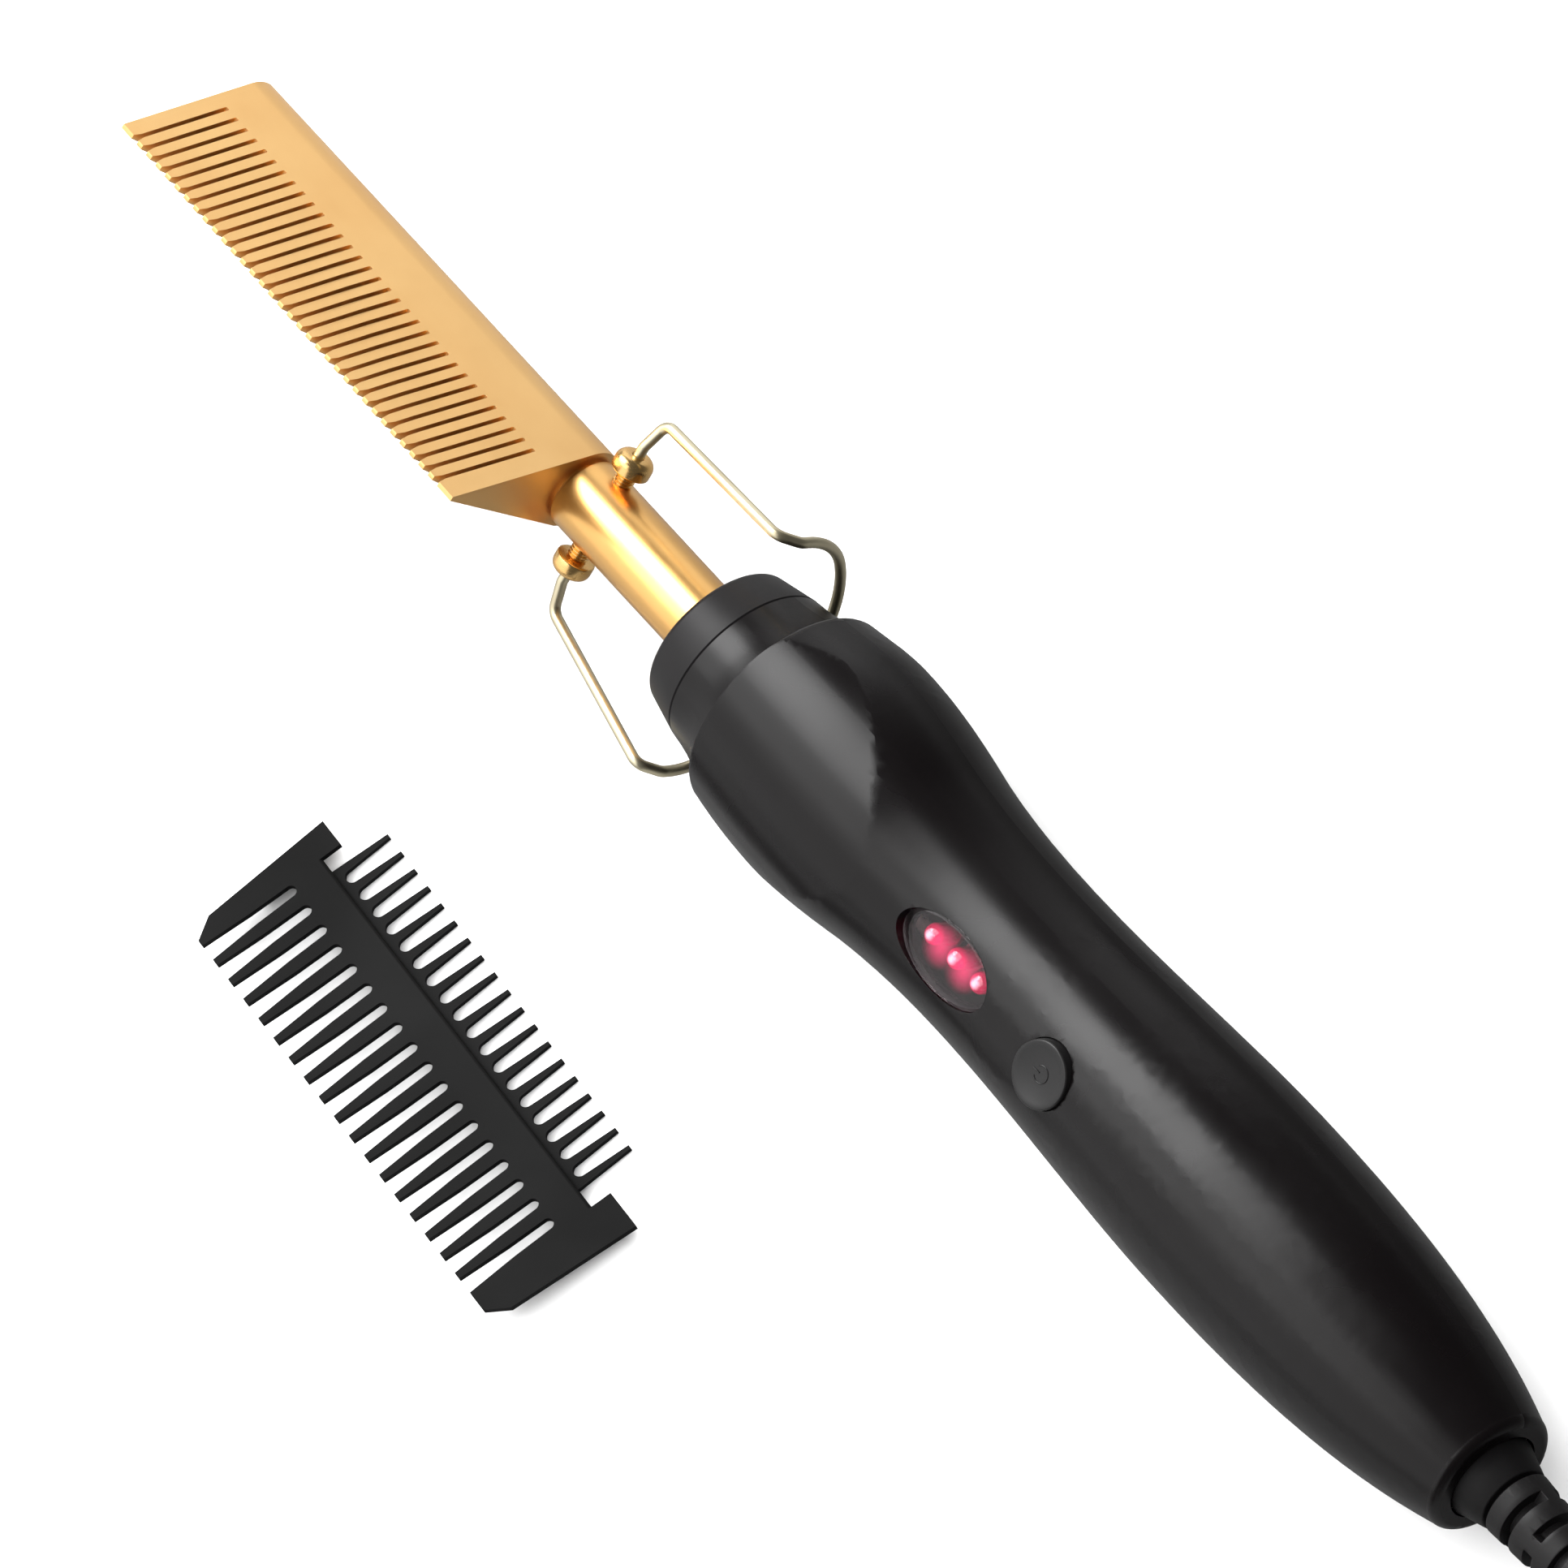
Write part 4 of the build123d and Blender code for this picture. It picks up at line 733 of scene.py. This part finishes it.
def makeLens():
    half, edge = lens["width"] / 2, lens["edge"]
    stations = [(lens["base"], half)]
    stations += roundCorner(lens["top"] - edge, half - edge, edge, 90, lens["edgeEnd"], steps=4)
    rimLevel, rimRadius = stations[-1]
    for step in range(1, lens["crownSteps"]):
        radius = rimRadius * (1 - step / lens["crownSteps"])
        stations.append((rimLevel + lens["crown"] * (1 - (radius / rimRadius) ** 2), radius))
    piece = turnPiece("windowLens", stations, sides=128)
    upright(piece, 0)
    piece.scale = (lens["length"] / lens["width"], 1, 1)
    piece.location = (window["x"], 0, 0)
    bake(piece)
    settle(piece, "window_lens", "handle")


def makeLamp(x):
    stations = [(lamp["foot"], lamp["flange"]), (lamp["flangeTop"], lamp["flange"]),
                (lamp["flangeTop"], lamp["radius"])]
    dome = lamp["radius"] * lamp["domeShare"]
    stations += roundCorner(lamp["crown"] - dome, lamp["radius"] - dome, dome, 90, lamp["domeEnd"], steps=10)
    body = turnPiece("lamp", stations, sides=48)
    upright(body, x)
    parts = [body]
    for side in (-1, 1):
        bpy.ops.mesh.primitive_cylinder_add(vertices=12, radius=lamp["leg"], depth=lamp["foot"] - lamp["legStart"],
                                            location=(x, side * lamp["legSpread"],
                                                      (lamp["foot"] + lamp["legStart"]) / 2))
        leg = bpy.context.object
        bake(leg)
        softenEdges(leg, lamp["leg"] * lamp["legRounding"])
        parts.append(leg)
    return joinPieces("lamp", *parts)


makeLens()
settle(joinPieces("indicatorLamps", *[makeLamp(x) for x in rowOfLamps]), "indicator_lamps", "handle",
       smoothAngle=40)

# ---- swivel ring with its spindle
swivel = {"spindleX": 178.4, "spindle": 3.9, "ringX": 197.2, "ring": 6.75, "taperX": 200.0, "endX": 204.7,
          "end": 5.35, "endDrop": 0.8, "endLean": 70, "neckX": 205.4, "neck": 4.2, "edge": 0.3}


def makeSwivelRing():
    edge = swivel["edge"]
    stations = [(swivel["spindleX"], swivel["spindle"]), (swivel["ringX"], swivel["spindle"])]
    stations += roundCorner(swivel["ringX"] + edge, swivel["ring"] - edge, edge, 180, 90, steps=3)
    stations += [(swivel["taperX"], swivel["ring"])]
    stations += roundCorner(swivel["endX"] - edge, swivel["end"] - edge * swivel["endDrop"], edge,
                            swivel["endLean"], 0, steps=3)
    stations += [(swivel["endX"], swivel["neck"]), (swivel["neckX"], swivel["neck"])]
    settle(turnPiece("swivelRing", stations, sides=96), "swivel_ring", "swivel", smoothAngle=25)


makeSwivelRing()

# ---- pieces that keep their solid's form and get small rounds where their faces meet, by width in millimetres
softened = {"front_shell": ("frontShell", "handle", 0.15), "back_shell": ("backShell", "handle", 0.15),
            "guard_comb": ("guardComb", "guard", 0.16), "strain_relief": ("strainRelief", "swivel", 0.18),
            "plug_body": ("plugBody", "handle", 0.30), "plug_pins": ("plugPins", "handle", 0.12),
            "cord_tie": ("cordTie", "handle", 0.10)}
merging = {"weld": 1e-6, "flatAngle": 0.1}


def softenCopy(node, name, body, width):
    pick(frame["nodes"][node])
    bpy.ops.object.duplicate()
    copy = bpy.context.object
    copy.name = name
    bpy.ops.object.mode_set(mode="EDIT")
    bpy.ops.mesh.select_all(action="SELECT")
    bpy.ops.mesh.remove_doubles(threshold=merging["weld"])
    bpy.ops.mesh.dissolve_limited(angle_limit=math.radians(merging["flatAngle"]))
    bpy.ops.object.mode_set(mode="OBJECT")
    softenEdges(copy, width * mm)
    bpy.ops.object.shade_smooth_by_angle(angle=math.radians(shaping["sharpAngle"]))
    applyModifier(copy, "WEIGHTED_NORMAL", keep_sharp=True)
    dress(copy, node, body)
    print("softened:", name, len(copy.data.polygons))


for node, (name, body, width) in softened.items():
    softenCopy(node, name, body, width)

# ---- stage and lights, in metres
studio = {"floorSize": 8.0, "floorTone": 0.6, "mirroredBright": 0.19, "mirroredDark": 0.04,
          "darkAcross": (-0.10, 0.08), "darkAlong": (-0.05, 0.04), "world": 0.09}


def addFloor():
    bpy.ops.mesh.primitive_plane_add(size=studio["floorSize"], location=(0, 0, 0))
    floor = bpy.context.object
    floor.name = "floor"
    finish, tree, shader, place = newFinish("paleFloor", roughness=0.9)
    # where glossy pieces mirror it the floor is dimmer, most of all to the right of the grip, as by a black flag
    parts = tree.nodes.new("ShaderNodeSeparateXYZ")
    tree.links.new(place, parts.inputs["Vector"])
    across = rangeNode(tree, parts.outputs["Y"], 0.0, 1.0, *studio["darkAcross"])
    flagShare = rangeNode(tree, parts.outputs["X"], 0.0, across, *studio["darkAlong"])
    mirroredTone = rangeNode(tree, flagShare, studio["mirroredBright"], studio["mirroredDark"])
    mirrored = tree.nodes.new("ShaderNodeLightPath").outputs["Is Glossy Ray"]
    tree.links.new(rangeNode(tree, mirrored, studio["floorTone"], mirroredTone), shader.inputs["Base Color"])
    shader.inputs["Specular IOR Level"].default_value = 0.0
    floor.data.materials.append(finish)


def addLight(name, place, target, size, radiance, mirrored=True):
    bpy.ops.object.light_add(type="AREA", location=place)
    light = bpy.context.object
    light.name = name
    light.data.shape = "RECTANGLE"
    light.data.size, light.data.size_y = size
    light.data.energy = radiance * math.pi * size[0] * size[1]
    back = (Vector(place) - Vector(target)).normalized()
    run = (alongWay - back * alongWay.dot(back)).normalized()
    light.rotation_euler = Matrix((run, back.cross(run), back)).transposed().to_euler()
    light.visible_camera = False
    light.visible_glossy = mirrored


def addWorld():
    world = bpy.data.worlds.new("studio")
    bpy.context.scene.world = world
    world.use_nodes = True
    background = world.node_tree.nodes["Background"]
    background.inputs["Color"].default_value = (1, 1, 1, 1)
    background.inputs["Strength"].default_value = studio["world"]
    bpy.context.scene.view_settings.view_transform = "Standard"


addFloor()
addLight("topBox", place=(-0.99, 0.09, 1.0), target=(-0.99, 0.09, 0.0), size=(1.38, 0.66), radiance=10.5)
addLight("overhead", place=(0.0, 0.0, 1.6), target=(0.0, 0.0, 0.0), size=(3.2, 3.2), radiance=4.5, mirrored=False)
addLight("sideFill", place=(-1.05, -0.55, 0.95), target=(-1.05, -0.45, 0.0), size=(1.4, 0.6), radiance=3.0)
addLight("tailFill", place=(-0.05, -0.50, 0.95), target=(-0.05, -0.40, 0.0), size=(0.6, 0.7), radiance=2.1)
addLight("leftWall", place=(-0.6, -1.2, 0.65), target=(-0.3, 0.0, 0.1), size=(2.6, 1.3), radiance=1.25)
addLight("headCard", place=(-0.35, 0.38, 0.15), target=(-0.13, 0.0, 0.03), size=(0.42, 0.32), radiance=1.1)
addWorld()

bpy.context.view_layer.update()
print("stage set")
